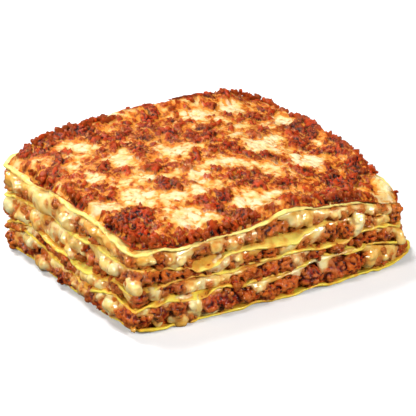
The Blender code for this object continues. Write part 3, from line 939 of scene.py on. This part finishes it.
def side_blobs(filling, places, depth):
    """Centres and half sizes of the lumps of one filling, set in by their thickness times
    a depth, which is given for the left and for the front."""
    centres, sizes = [], []
    for column, row, half_width, half_height in places:
        spot = on_side(column, row)
        front = column > CORNER_COLUMN
        along = (spot[0] - SHIFT_X) / HALF_WIDTH if front else -(spot[1] - SHIFT_Y) / HALF_DEPTH
        station = np.array([(0 if front else 3) + np.clip((along + 1) / 2, 0.001, 0.999)])
        if filling > 0 and spot[2] < sheet_height(filling, station, 1.0)[0]:
            continue
        if filling < SHEETS - 2 and spot[2] >= sheet_height(filling + 1, station, 1.0)[0]:
            continue
        low = filling_floor(filling, station, 1.0)[0] - OVERLAP
        high = filling_roof(filling, station, 1.0)[0] + OVERLAP
        wide = half_width * SCALE / (math.cos(AZIMUTH) if front else math.sin(-AZIMUTH))
        tall = half_height * SCALE / math.cos(ELEVATION)
        hangs = tall > HANGING * wide
        if not hangs:
            tall = min(tall, (high - low) / 2)
            spot[2] = np.clip(spot[2], low + tall, high - tall)
        thick = min(wide, tall) * FLATNESS
        inward = np.array((0.0, 1.0, 0.0) if front else (1.0, 0.0, 0.0))
        inset = thick * (HANGING_INSET if hangs else depth[front])
        centres.append(spot + inward * inset + [max(along - 0.9, 0) * CORNER_PUSH * front, 0, 0])
        sizes.append((wide, thick, tall) if front else (thick, wide, tall))
    return np.array(centres).reshape(-1, 3), np.array(sizes).reshape(-1, 3)


def scatter_on(centres, sizes, count, half, seed):
    """Smaller lumps on the skin of some lumps, as centres and half sizes."""
    draw = np.random.default_rng(seed)
    way = draw.normal(size=(len(centres), count, 3))
    way = way / np.linalg.norm(way, axis=2, keepdims=True)
    reach = draw.uniform(0.5, 0.9, (len(centres), count, 1))
    spots = centres[:, None] + way * sizes[:, None] * reach
    lumps = draw.uniform(*half, (len(centres) * count, 1))
    return spots.reshape(-1, 3), lumps * draw.uniform(0.8, 1.2, (len(centres) * count, 3))


# %% [markdown]
# ## Lumps round the rim
#
# Between the lumps that the photograph shows, and on the two sides that it doesn't,
# lumps are scattered by a rule: one in each step round the rim, at a random height
# between its two sheets, and kept where the filling wants ragu or sauce at that height.

# %% Lumps round the rim
BAND_REACH = 0.93


def filling_plan(filling, station, reach, outward):
    """The plan position in a filling, with its front right corner fanned out."""
    x, y = plan_point(station, reach, outward)
    return x + FILLING_FAN[filling] * fan(station) * ease(reach, 0.8, 1.0), y


def loose_lumps(filling, count, sizes, seed, wanted, inset):
    """Lumps scattered round the rim, where a function of station and height wants them."""
    draw = np.random.default_rng(seed + filling)
    station = (np.arange(count) + draw.uniform(0.1, 0.9, count)) * 4 / count
    low = filling_floor(filling, station, 1.0)
    room = filling_roof(filling, station, 1.0) - low
    half = np.minimum(draw.uniform(*sizes, count), room / 2)
    height = draw.uniform(0, 1, count)
    level = low + half + height * (room - 2 * half)
    x, y = filling_plan(filling, station, 1.0, -half * draw.uniform(0.5, 1.2, count) - inset)
    sizes = np.stack([half * draw.uniform(0.75, 1.25, count) for _ in range(3)], 1)
    kept = wanted(station, height) + draw.uniform(-0.2, 0.2, count) > 0.5
    return np.stack([x, y, level], 1)[kept], sizes[kept]


def random_turns(count, seed):
    """Turns that lean a little and face any way round."""
    draw = np.random.default_rng(seed)
    turns = draw.uniform(-0.5, 0.5, (count, 3))
    turns[:, 2] = draw.uniform(0, math.tau, count)
    return turns


def mixed_lumps(name, shown, fatness, small, seed, finish, rough, grain):
    """One mesh of the lumps that the photograph shows, upright, and smaller turned ones."""
    centres = np.concatenate([shown[0], *(group[0] for group in small)])
    sizes = np.concatenate([shown[1] * fatness, *(group[1] for group in small)])
    turned = len(centres) - len(shown[0])
    turns = np.concatenate([np.zeros_like(shown[0]), random_turns(turned, seed)])
    return crumbs(name, centres, sizes, turns, finish, rough, grain)


# %% [markdown]
# ## Ragu
#
# Each ragu is a rough core set back behind the rim, with crumbs of mince in front of it.
# Only a band near the rim is made: what lies deeper is out of sight. The higher fillings
# are milkier, because sauce ran down over them.

# %% Ragu
LUMP = (1.2, 3.0)
CRUMB = (0.7, 1.5)
CRUMBS_EACH = 16
RIM_LUMPS = 240
CORE_SETBACK = 2.8
CORE_GAP = 0.1
CORE_BULGE = 0.9
CORE_PROFILE = (
    (BAND_REACH, 0.0, 0.0),
    (1.0, -0.6, 0.0),
    (1.0, 0.1, 0.3),
    (1.0, 0.1, 0.7),
    (1.0, -0.8, 1.0),
    (BAND_REACH, 0.0, 1.0),
)
MINCE_INSET = (0.35, 0.7, 0.8, 0.8)
MINCE_FATNESS = 0.85
MILKINESS = (0.0, 0.15, 0.5, 0.8)


def ragu_core(filling):
    """The band of ragu behind the crumbs."""
    station = STATIONS
    rows = []
    for reach, outward, height in CORE_PROFILE:
        low = filling_floor(filling, station, reach) + CORE_GAP
        high = filling_roof(filling, station, reach) - CORE_GAP
        x, y = filling_plan(filling, station, reach, 0.0)
        bulge = CORE_BULGE * rough_noise(x, y, 5.0 * height + 9 * filling, 4.0, filling)
        outward = (outward - CORE_SETBACK + bulge) * (reach == 1.0)
        x, y = filling_plan(filling, station, reach, outward)
        rows.append((x, y, low + (high - low) * height))
    return rim_band(f"mince_{filling + 1}", rows)


def ragu_lumps(filling):
    """The lumps of mince in front of the core."""

    def wanted(station, height):
        return ragu_share(filling, station, 1.0) + 0.25 * (0.6 - height)

    shown = side_blobs(filling, SIDE_MINCE, (MINCE_INSET[filling],) * 2)
    bits = scatter_on(*shown, CRUMBS_EACH, CRUMB, 30 + filling)
    loose = loose_lumps(filling, RIM_LUMPS, LUMP, 20, wanted, 0.1)
    name = f"lumps_{filling + 1}"
    small = (bits, loose)
    return mixed_lumps(name, shown, MINCE_FATNESS, small, 5 + filling, RAGU_LOOK, 4.2, 1.5)


def ragu(filling):
    """One ragu with its crumbs melted into it."""
    piece = join([ragu_core(filling), ragu_lumps(filling)], f"mince_{filling + 1}")
    melt(piece, VOXEL, 0, RAGU_LOOK, 0.5, 2.4, filling, crumble)
    add_mark(piece.data, "light", np.full(len(piece.data.vertices), MILKINESS[filling]))
    finish_piece(piece, "ragu", f"ragu_{filling + 1}")
    return piece


ragus = [ragu(filling) for filling in range(SHEETS - 1)]

# %% [markdown]
# ## White sauce material
#
# The sauce is creamy and glossy, from deep yellow to nearly white. Tomato oil stains it
# in patches and wherever mince is near. Its pits turn a darker orange, partly from oil that
# runs together there and partly as painted shade.

# %% White sauce material
def sauce_material():
    paint = Paint("sauce")
    colour = paint.ramp(
        paint.noise(9.0, 3.0),
        (0.36, (0.80, 0.40, 0.06)),
        (0.47, (0.90, 0.60, 0.17)),
        (0.58, (0.95, 0.74, 0.31)),
        (0.72, (0.98, 0.84, 0.47)),
    )
    patch = paint.step(paint.noise(4.0, 4.0, 0.6), 0.58, 0.72)
    colour = paint.mix(paint.times(patch, 0.8), colour, (0.68, 0.17, 0.015))
    near = paint.ragged("stain", 2.2, 3.0)
    colour = paint.over(colour, (0.72, 0.22, 0.02), near, 0.4, 1.15, 0.8)
    # The pits turn a darker orange: partly oil that runs together there, partly painted shade.
    colour = paint.over(colour, (0.58, 0.15, 0.012), paint.mark("cavity"), 0.55, 0.85)
    paint.set(Base_Color=colour, Roughness=0.2, Specular_IOR_Level=0.5)
    paint.wet(1.0, 0.05, (1.0, 0.9, 0.65))
    paint.soften(0.3, 1.6, (1.0, 0.75, 0.4))
    paint.bump((paint.noise(2.5), 0.3), (paint.noise(0.9), 0.1))
    return paint.material


SAUCE_LOOK = sauce_material()

# %% [markdown]
# ## White sauce
#
# The white sauce is thick. It hangs as a film under the sheet above, bulges out of the
# side in soft pillows and runs down over the crumbs in tongues. The film is a band whose
# swelling and lower edge follow a broad noise. With its pillows it is remeshed and then
# smoothed, which mince is not, so that it looks poured.

# %% White sauce
SAUCE_STEPS = 9
SAUCE_SMOOTHING = 5
CREAM_LUMP = (1.0, 2.4)
FOLDS_EACH = 5
RIM_CREAM = 150
LEFT_CREAM = (0.4, 0.25, 0.1, 0.1)
CREAM_INSET = (0.35, 0.6)
CREAM_FATNESS = 0.95
EVEN_SHARE = 0.6
SHARE_SWELL = 1.2
FILM_SWELL = 0.7
FILM_SETBACK = 1.6
FILM_BULGE = 1.4
FILM_OVERLAP = 0.15
TONGUE_LENGTH = 0.6


def sauce_band(filling):
    """The film of sauce under the sheet above, which runs down here and there."""
    station = STATIONS
    x, y = plan_point(station, 1.0)
    share = ragu_share(filling, station, 1.0)
    tongue = soft_noise(x, y, 6.0 * filling, 6.0, filling + 3)
    swell = FILM_SWELL * rough_noise(x, y, 4.0 * filling, 8.0, filling + 5, 2)
    swell = swell + SHARE_SWELL * (EVEN_SHARE - share)
    roof = filling_roof(filling, station, 1.0) + FILM_OVERLAP
    floor = filling_floor(filling, station, 1.0)
    low = floor + (roof - floor) * np.clip(share, 0.0, 0.85)
    low = low - (roof - floor) * TONGUE_LENGTH * ease(tongue, 0.15, 0.5)
    low = np.maximum(low, floor + 0.2)
    inner = filling_plan(filling, station, BAND_REACH, 0.0)
    rows = [(*inner, floor + (roof - floor) * share)]
    for step in range(SAUCE_STEPS):
        part = step / (SAUCE_STEPS - 1)
        roundness = math.sin(math.pi * (0.12 + 0.76 * part)) ** 0.8
        out = -FILM_SETBACK + (FILM_BULGE + swell) * roundness
        rows.append((*filling_plan(filling, station, 1.0, out), low + (roof - low) * part))
    rows.append((*inner, filling_roof(filling, station, BAND_REACH) + 0.1))
    return rim_band(f"cream_{filling + 1}", rows)


def cream_lumps(filling):
    """The pillows of sauce in front of the film."""

    def wanted(station, height):
        share = 1.0 - ragu_share(filling, station, 1.0)
        return share + 0.3 * (height - 0.3) + LEFT_CREAM[filling] * (station > 3)

    shown = side_blobs(filling, SIDE_CREAM, CREAM_INSET)
    folds = scatter_on(*shown, FOLDS_EACH, CREAM_LUMP, 60 + filling)
    loose = loose_lumps(filling, RIM_CREAM, CREAM_LUMP, 50, wanted, 0.0)
    name = f"pillows_{filling + 1}"
    small = (folds, loose)
    return mixed_lumps(name, shown, CREAM_FATNESS, small, 15 + filling, SAUCE_LOOK, 3.5, 4.0)


def white_sauce(filling):
    """One white sauce with its pillows melted into it."""
    piece = join([sauce_band(filling), cream_lumps(filling)], f"cream_{filling + 1}")
    melt(piece, SAUCE_VOXEL, SAUCE_SMOOTHING, SAUCE_LOOK, 0.3, 5.0, filling + 5)
    finish_piece(piece, "sauce", f"white_sauce_{filling + 1}")
    return piece


sauces = [white_sauce(filling) for filling in range(SHEETS - 1)]

# %% [markdown]
# ## Where sauce and mince meet
#
# Tomato oil bleeds into the white sauce wherever mince touches it, and the mince is milky
# there in turn. A search tree finds how near each point of one is to the other, and the
# materials read that as a mark.

# %% Stains
STAIN_REACH = 1.9
OIL_REACH = 2.6
EVERY = 3
TOUCHING = 0.5


def mark_nearness(piece, others, name, reach):
    """Marks each point by how near it is to other pieces: 1 where they touch."""
    spots = [vert.co for other in others for vert in list(other.data.vertices)[::EVERY]]
    tree = kdtree.KDTree(len(spots))
    for number, spot in enumerate(spots):
        tree.insert(spot, number)
    tree.balance()
    away = np.array([tree.find(vert.co)[2] for vert in piece.data.vertices]) / MM
    add_mark(piece.data, name, 1 - ease(away, 0.2, reach))
    print(piece.name, "touches its neighbours at", int((away < TOUCHING).sum()), "points")


for mince, cream in zip(ragus, sauces):
    mark_nearness(cream, [mince], "stain", STAIN_REACH)
    mark_nearness(mince, [cream], "milk", STAIN_REACH)
for sheet, noodle in enumerate(noodles):
    mark_nearness(noodle, ragus[max(sheet - 1, 0) : sheet + 1], "oil", OIL_REACH)

# %% [markdown]
# ## The topping's pattern
#
# The top is a map of melted cheese with mince baked into it. The large pools of cheese
# and the large clusters of mince were found in the photograph: each is named by the
# pixel of its middle and its half sizes there, and a ray from the camera through that
# pixel gives its place on the slice. Noise fills in the rest. The topping is thickest in
# the middle, thins out to its rim and is heaped up at the back and on the right.

# %% Pools and clusters
CHEESE = (
    (171, 152, 15, 8), (203, 176, 13, 9), (233, 163, 24, 6), (138, 199, 20, 8), (199, 193, 12, 7),
    (174, 196, 14, 5), (250, 201, 26, 10), (192, 220, 26, 9), (153, 179, 22, 5), (262, 144, 26, 11),
    (281, 121, 14, 5), (320, 144, 16, 7), (306, 162, 22, 7), (262, 165, 24, 6), (72, 148, 20, 9),
    (14, 163, 10, 8), (206, 118, 22, 7), (120, 122, 14, 7), (120, 160, 18, 6), (96, 178, 16, 6),
    (385, 188, 12, 8), (100, 208, 26, 6), (228, 108, 16, 6),
)
MINCE = (
    (45, 140, 34, 12), (20, 168, 12, 10), (30, 182, 12, 8), (144, 150, 16, 9), (160, 172, 8, 6),
    (164, 189, 22, 5), (138, 222, 22, 18), (218, 203, 14, 12), (241, 181, 20, 12), (188, 235, 16, 8),
    (214, 228, 14, 11), (242, 215, 16, 9), (264, 158, 22, 6), (309, 126, 21, 9), (331, 139, 12, 5),
    (358, 168, 16, 18), (258, 184, 18, 10), (330, 183, 18, 9), (323, 200, 48, 9), (185, 98, 10, 6),
    (220, 92, 12, 8), (273, 104, 24, 6), (104, 168, 10, 6), (200, 136, 12, 6), (108, 154, 8, 4),
    (80, 130, 20, 6),
)
BACK_HEAP = 2.6
RIGHT_HEAP = 3.0
TOPPING_DRAW = (-0.2, 0.2, 0.2, 1.8)
DRAW_STATIONS = (0, 0.1, 0.95, 1.1, 2.9, 3.1, 3.9, 4)
DRAW_SIDES = (3, 0, 0, 1, 2, 3, 3, 3)
MAP_DEPTH = 1.6
RIM_THINNING = (0.30, 0.36)
RIM_WOBBLE = 0.9
RIM_SETBACK = 0.3
FIRST_LEVEL = 38.0
TINY = 1e-9


def topping_outward(station, reach):
    """How far the topping draws back from the rim of the sheet that it lies on."""
    side = np.interp(station, DRAW_STATIONS, np.take(TOPPING_DRAW, DRAW_SIDES))
    wobble = RIM_WOBBLE * soft_noise(*plan_point(station, 1.0), 50.0, 7.0, 3)
    return -(side + wobble + RIM_SETBACK) * ease(reach, 0.88, 1.0)


def square_address(a, b):
    """The station and reach of a point of the square from -1 to 1."""
    reach = np.maximum(np.maximum(np.abs(a), np.abs(b)), 1e-6)
    x, y = a / reach, b / reach
    sides = (y <= -1 + TINY, x >= 1 - TINY, y >= 1 - TINY)
    stations = ((x + 1) / 2, 1 + (y + 1) / 2, 2 + (1 - x) / 2)
    return np.select(sides, stations, 3 + (1 - y) / 2) % 4.0, reach


def topping_base(a, b):
    """The plan, height, station and reach of the topping for a point of that square."""
    station, reach = square_address(a, b)
    x, y = plan_point(station, reach, topping_outward(station, reach))
    broad, narrow = RIM_THINNING
    thin = 1 - broad * ease(reach, CALM_REACH, 1.0) - narrow * ease(reach, 0.95, 1.0)
    top = sheet_height(SHEETS - 1, station, reach) + PASTA / 2 + GAP
    back = BACK_HEAP * ease(b, 0.7, 0.95) * ease(a, -1.4, 0.6) * (1 - 0.9 * ease(a, 0.6, 1.0))
    right = RIGHT_HEAP * ease(a, 0.7, 0.95) * np.exp(-(((b + 0.15) / 0.28) ** 2))
    return x, y, top + TOPPING * thin - MAP_DEPTH + back + right, station, reach


def level_on_top(x, y):
    """The height of the topping at a plan point."""
    a = np.clip((x - SHIFT_X) / HALF_WIDTH, -1, 1)
    b = np.clip((y - SHIFT_Y) / HALF_DEPTH, -1, 1)
    return topping_base(a, b)[2]


def on_top(column, row):
    """The plan point of the topping that a pixel of the photograph shows."""
    ray = sight(column, row)
    level = FIRST_LEVEL
    for _ in range(4):
        point = EYE + ray * (level - EYE[2]) / ray[2]
        level = level_on_top(point[:1], point[1:2])[0]
    return (EYE + ray * (level - EYE[2]) / ray[2])[:2]


def blobs(x, y, places):
    """How deep a point lies in any of some places, 1 in the middle and 0 outside."""
    depth = 0 * x
    for column, row, half_width, half_height in places:
        middle = on_top(column, row)
        side = on_top(column + half_width, row) - middle
        rise = on_top(column, row - half_height) - middle
        to_blob = np.linalg.inv(np.stack([side, rise], 1))
        u, v = to_blob @ np.stack([x - middle[0], y - middle[1]])
        depth = np.maximum(depth, np.exp(-1.3 * (u * u + v * v)))
    return depth


# %% [markdown]
# ## The topping's relief
#
# Crumbs of mince stand up as domes of several sizes, one in each square of a jittered
# grid, and cheese lies smooth between them. The same sums give marks for the material:
# how much of a point is meat, and how browned it is.

# %% Domes of mince
DOME_GRID = 64
NO_DOME = -9.0


def domes(x, y, pitch, radii, seed):
    """The highest dome over each point: its height, its random number and its middle."""
    draw = np.random.default_rng(seed)
    grid = (DOME_GRID, DOME_GRID)
    jitter = draw.uniform(0.1, 0.9, (*grid, 2))
    radius = draw.uniform(*radii, grid)
    tone = draw.uniform(0, 1, grid)
    stretch = draw.uniform(0.75, 1.3, grid)
    column = np.floor(x / pitch).astype(int)
    row = np.floor(y / pitch).astype(int)
    best = [np.full(x.shape, NO_DOME), *np.zeros((3, *x.shape))]
    for i in (-1, 0, 1):
        for j in (-1, 0, 1):
            cell = (column + i) % DOME_GRID, (row + j) % DOME_GRID
            middle_x = (column + i + jitter[cell][..., 0]) * pitch
            middle_y = (row + j + jitter[cell][..., 1]) * pitch
            away_x = (x - middle_x) * stretch[cell]
            away_y = (y - middle_y) / stretch[cell]
            away = np.hypot(away_x, away_y) / radius[cell]
            height = radius[cell] * (1.15 * np.sqrt(np.clip(1 - away**2, 0, 1)) - 0.4)
            height = np.where(away < 1, height, NO_DOME)
            higher = height > best[0]
            found = (height, tone[cell], middle_x, middle_y)
            best = [np.where(higher, new, old) for new, old in zip(found, best)]
    return best


# %% [markdown]
# ## The topping's map
#
# The places of pools and clusters and two noises say how much mince lies at each point of
# a fine grid. Three sizes of domes are laid over the cheese, the large ones only where
# there is much mince. A dome where there is too little stays sunk in the cheese.

# %% Topping map
TOP_COLUMNS = 272
TOP_ROWS = 232
DOME_SIZES = (
    (5.6, (2.0, 3.4), 1, 0.64),
    (3.4, (1.3, 2.3), 2, 0.54),
    (2.0, (0.8, 1.4), 3, 0.47),
)
USUAL_MEAT = 0.48
CLUSTER_MEAT = 0.42
POOL_MEAT = -0.60


def meat_amount(x, y):
    """How much mince lies at a plan point, from 0 to 1."""
    patch = 0.30 * rough_noise(x, y, 3.0, 7.0, 4, 2) + 0.26 * rough_noise(x, y, 6.0, 2.4, 14, 2)
    clusters, pools = blobs(x, y, MINCE), blobs(x, y, CHEESE)
    return USUAL_MEAT + patch + CLUSTER_MEAT * clusters + POOL_MEAT * pools


def topping_points():
    """The grid of the topping: its points, their stations and the marks on them."""
    steps = (np.linspace(-1, 1, count) for count in (TOP_COLUMNS, TOP_ROWS))
    grid = (c.ravel() for c in np.meshgrid(*steps, indexing="ij"))
    x, y, base, station, reach = topping_base(*grid)
    warp_x = x + 1.2 * rough_noise(x, y, 0.0, 3.5, 8) + 0.6 * soft_noise(x, y, 3.0, 1.3, 10)
    warp_y = y + 1.2 * rough_noise(x, y, 9.0, 3.5, 9) + 0.6 * soft_noise(x, y, 6.0, 1.3, 11)
    meat = meat_amount(x, y)
    height = 0.4 * (1 - meat) + 0.7 * rough_noise(x, y, 1.0, 4.5, 12, 4)
    cover = np.zeros(x.shape)
    tone = np.full(x.shape, 0.5)
    for pitch, radii, seed, need in DOME_SIZES:
        dome, dome_tone, middle_x, middle_y = domes(warp_x, warp_y, pitch, radii, seed)
        here = meat_amount(middle_x, middle_y) + 0.55 * (dome_tone - 0.5)
        bare = ease(here, need - 0.06, need + 0.06)
        dome = dome * (0.7 + 0.3 * bare) - 0.7 * (1 - bare)
        dome = dome + (0.1 + 0.55 * bare) * crumble(x, y, 2 * dome, 1.7, seed)
        above = dome - height
        shown = ease(above, -0.25, 0.5)
        cover = cover * (1 - shown) + bare * shown
        tone = np.where(above > 0, dome_tone, tone)
        height = np.where(above > 0, dome, height)
    height = height * (1 - 0.45 * ease(reach, 0.965, 1.0))
    marks = {"meat": cover, "tone": tone, "amount": np.clip(meat, 0, 1)}
    return np.stack([x, y, base + height], 1), station, marks


# %% [markdown]
# ## Topping material
#
# Two recipes are mixed by the mark for meat. Cheese runs from cream to golden, with
# toasted specks where mince is near, and a deeper orange in its pits, partly from oil that
# runs together there and partly as painted shade. Mince runs from nearly black to brick
# red, with a film of melted cheese on some of it. Painted light makes its peaks a brighter
# red, and painted shade makes its pits darker.

# %% Topping material
def topping_material():
    paint = Paint("topping")
    tone, amount, cavity = (paint.mark(name) for name in ("tone", "amount", "cavity"))
    melted = paint.plus(paint.noise(5.0, 5.0, 0.65), 0.36)
    cheese = paint.ramp(
        paint.plus(melted, paint.times(amount, -0.9)),
        (0.32, (0.60, 0.17, 0.02)),
        (0.46, (0.76, 0.36, 0.07)),
        (0.64, (0.82, 0.55, 0.19)),
        (0.92, (0.85, 0.70, 0.42)),
    )
    golden = paint.noise(4.5, 3.0, 0.6)
    cheese = paint.over(cheese, (0.80, 0.45, 0.05), golden, 0.54, 0.70, 0.6)
    toasted = paint.plus(paint.noise(1.9, 3.0, 0.6), paint.times(amount, 0.7))
    cheese = paint.over(cheese, (0.70, 0.17, 0.015), toasted, 0.64, 0.86)
    cheese = paint.over(cheese, (0.30, 0.03, 0.003), toasted, 0.80, 0.98)
    # The pits of the cheese turn a deeper orange: partly oil that runs together there, partly
    # painted shade.
    cheese = paint.over(cheese, (0.74, 0.27, 0.03), cavity, 0.55, 0.85)
    mince = paint.ramp(
        paint.plus(paint.times(tone, 0.35), paint.noise(3.0, 4.0, 0.6)),
        (0.50, (0.015, 0.001, 0.001)),
        (0.64, (0.08, 0.002, 0.001)),
        (0.78, (0.24, 0.005, 0.001)),
        (0.96, (0.54, 0.030, 0.002)),
    )
    mince = paint.over(mince, (0.22, 0.020, 0.003), paint.noise(8.0, 2.0), 0.48, 0.62, 0.5)
    mince = paint.over(mince, (0.58, 0.07, 0.006), paint.noise(0.8, 3.0, 0.6), 0.58, 0.72, 0.6)
    # Painted light: the peaks of the mince turn a brighter red.
    mince = paint.over(mince, (0.66, 0.11, 0.012), cavity, 0.4, 0.05, 0.35)
    # Painted shade in the pits of the mince: nearly black where there is much mince, oily orange
    # where there is little.
    deep = paint.over((0.012, 0.001, 0.001), (0.50, 0.11, 0.01), amount, 0.6, 0.3)
    mince = paint.over(mince, deep, cavity, 0.48, 0.68)
    film = paint.step(paint.noise(2.6, 4.0, 0.7), 0.54, 0.72, 0.65)
    film = paint.times(film, paint.step(amount, 1.0, 0.5))
    mince = paint.mix(film, mince, (0.78, 0.36, 0.09))
    colour = paint.mix(paint.mark("meat"), cheese, mince)
    paint.set(Base_Color=colour, Roughness=0.2, Specular_IOR_Level=0.25)
    paint.wet(0.2, 0.04, (1.0, 0.4, 0.2))
    paint.soften(0.12, 1.0, (1.0, 0.5, 0.2))
    paint.bump((paint.noise(1.4, 4.0, 0.6), 0.8), (paint.noise(0.5), 0.15))
    return paint.material


TOPPING_LOOK = topping_material()

# %% [markdown]
# ## Loose crumbs on the topping
#
# Some crumbs stand out against the background and round the rim, where a height map can't
# hang over. They are heaped at places found in the photograph, and strewn round the rim
# where there is mince, from the same crumb tree as the ragu.

# %% Loose crumbs on the topping
TOP_HEAPS = (
    (185, 99, 10, 4), (172, 103, 6, 4), (220, 91, 11, 6), (108, 121, 5, 3), (60, 131, 16, 6),
    (84, 125, 14, 4), (40, 142, 12, 6), (290, 106, 10, 4), (262, 99, 10, 3), (318, 122, 8, 4),
)
HEAP_CRUMBS = 13
RIM_CRUMBS = 190
TOP_CRUMB = (0.6, 1.4)
INSIDE = 2.5
TOP_CAVITY = (8, 0.3)


def top_crumbs():
    """Separate crumbs: heaps that stand out against the background, and some at the rim."""
    draw = np.random.default_rng(77)
    x, y = [], []
    for column, row, half_width, half_height in TOP_HEAPS:
        for _ in range(HEAP_CRUMBS):
            away, turn = draw.uniform(0, 1) ** 0.5, draw.uniform(0, math.tau)
            across = column + half_width * away * math.cos(turn)
            place = on_top(across, row + half_height * away * math.sin(turn))
            wide, deep = HALF_WIDTH - INSIDE, HALF_DEPTH - INSIDE
            x.append(np.clip(place[0], SHIFT_X - wide, SHIFT_X + wide))
            y.append(np.clip(place[1], SHIFT_Y - deep, SHIFT_Y + deep))
    station = draw.uniform(0, 4, RIM_CRUMBS)
    outward = topping_outward(station, 1.0) - draw.uniform(0, 2.0, RIM_CRUMBS)
    rim_x, rim_y = plan_point(station, 1.0, outward)
    wanted = meat_amount(rim_x, rim_y) > 0.5
    x, y = np.concatenate([x, rim_x[wanted]]), np.concatenate([y, rim_y[wanted]])
    count = len(x)
    half = draw.uniform(*TOP_CRUMB, count)
    z = level_on_top(x, y) + 0.5 * half + draw.uniform(0, 0.8, count)
    sizes = half[:, None] * draw.uniform(0.75, 1.3, (count, 3))
    centres = np.stack([x, y, z], 1)
    turns = random_turns(count, 9)
    piece = crumbs("top crumbs", centres, sizes, turns, TOPPING_LOOK, 4.2, 1.1, 2)
    each = len(piece.data.vertices) // count
    full = np.ones(count)
    for name, values in (("meat", full), ("amount", full), ("tone", draw.uniform(0, 1, count))):
        add_mark(piece.data, name, np.repeat(values, each))
    mark_cavities(piece, *TOP_CAVITY)
    print(count, "crumbs on the topping")
    return piece


# %% [markdown]
# ## The topping's mesh
#
# The relief is a fine grid, shaped like the slice. A short skirt of rings goes down round
# its rim, and a fan of triangles to one point in the middle closes it below.

# %% Topping mesh
SKIRT = 6
SKIRT_FOOT = 0.05
POLE_LEVEL = 1.0


def boundary(columns, rows):
    """The indices of a grid's edge points, in order round it."""
    front = [c * rows for c in range(columns)]
    right = [(columns - 1) * rows + r for r in range(1, rows)]
    back = [c * rows + rows - 1 for c in range(columns - 2, -1, -1)]
    left = list(range(rows - 2, 0, -1))
    return front + right + back + left


def baked_topping():
    """The topping: a grid with a skirt below it and loose crumbs on it."""
    top, station, marks = topping_points()
    near = np.arange(len(top)).reshape(TOP_COLUMNS, TOP_ROWS)[:-1, :-1].ravel()
    faces = np.stack([near, near + TOP_ROWS, near + TOP_ROWS + 1, near + 1], 1).tolist()
    ring = boundary(TOP_COLUMNS, TOP_ROWS)
    station, high = station[ring], top[ring, 2]
    low = sheet_height(SHEETS - 1, station, 1.0) + PASTA / 2 + SKIRT_FOOT
    points = [top]
    rings = [ring, *(len(top) + np.arange(SKIRT * len(ring)).reshape(SKIRT, -1))]
    for step in range(1, SKIRT + 1):
        part = step / SKIRT
        out = 0.5 * math.sin(math.pi * part) - 1.0 * part
        out = out + topping_outward(station, 1.0)
        x, y = plan_point(station, 1.0, out)
        bump = 0.3 * soft_noise(x, y, 3.0 * part, 2.5, 6)
        x, y = plan_point(station, 1.0, out + bump)
        points.append(np.stack([x, y, high + (low - high) * part], 1))
        faces += joined_rings([rings[step], rings[step - 1]])
    floor = sheet_height(SHEETS - 1, np.array([0.5]), 0.0)[0] + POLE_LEVEL
    points.append([[SHIFT_X, SHIFT_Y, floor]])
    last = rings[-1].tolist()
    for number, after in zip(last, last[1:] + last[:1]):
        faces.append((last[-1] + 1, after, number))
    for name, values in marks.items():
        marks[name] = np.concatenate([values, np.tile(values[ring], SKIRT), [0.0]])
    piece = new_piece("topping", np.concatenate(points), faces, marks)
    piece.data.materials.append(TOPPING_LOOK)
    mark_cavities(piece, *TOP_CAVITY)
    join([piece, top_crumbs()], "topping")
    finish_piece(piece, "topping", "baked_topping")


baked_topping()

# %% [markdown]
# ## Floor
#
# The slice lies on a plain white floor that shines very weakly itself, so that the shadow
# on it stays faint. The floor is hidden from bounced and reflected rays, because its
# glare from below would bleach the wet sides.

# %% Floor
FLOOR_SIZE = 6.0
FLOOR_SHINE = 0.07


def white_floor():
    """The floor, which is no part of the slice."""
    bpy.ops.mesh.primitive_plane_add(size=FLOOR_SIZE, location=(0, 0, 0))
    floor = bpy.context.object
    floor.name = "floor"
    paint = Paint("white floor")
    white = paint.ramp(paint.noise(200.0), (0.4, (0.9, 0.9, 0.9)), (0.6, (0.91, 0.91, 0.91)))
    paint.set(Base_Color=white, Roughness=0.8)
    paint.set(Emission_Color=(1.0, 1.0, 1.0), Emission_Strength=FLOOR_SHINE)
    floor.data.materials.append(paint.material)
    floor.visible_diffuse = False
    floor.visible_glossy = False


white_floor()

# %% [markdown]
# ## Lights
#
# Three soft lamps light the slice. The key lamp hangs behind and above it, so the crumbs on
# top catch highlights and the shadow falls softly. The fill lamp stands to the left and the
# front lamp low before the long side, which would else be dark. The white world adds a
# little light from all round.

# %% Lights
WORLD_STRENGTH = 0.08


def soft_light(name, azimuth, elevation, distance, size, power):
    """A square lamp that looks at the slice from some direction, in degrees and metres."""
    lamp = bpy.data.objects.new(name, bpy.data.lights.new(name, "AREA"))
    lamp.data.shape = "SQUARE"
    lamp.data.size = size
    lamp.data.energy = power
    away = direction_to(math.radians(azimuth), math.radians(elevation))
    lamp.location = away * distance
    look_along(lamp, -away)
    bpy.context.collection.objects.link(lamp)


soft_light("key", -160, 58, 1.2, 0.5, 14)
soft_light("fill", -80, 28, 1.4, 0.3, 15)
soft_light("front", 22, 28, 1.4, 0.3, 16.5)
world = bpy.data.worlds.new("studio")
world.use_nodes = True
background = world.node_tree.nodes["Background"]
background.inputs["Color"].default_value = (1.0, 1.0, 1.0, 1.0)
background.inputs["Strength"].default_value = WORLD_STRENGTH
bpy.context.scene.world = world
bpy.context.scene.view_settings.view_transform = "Standard"
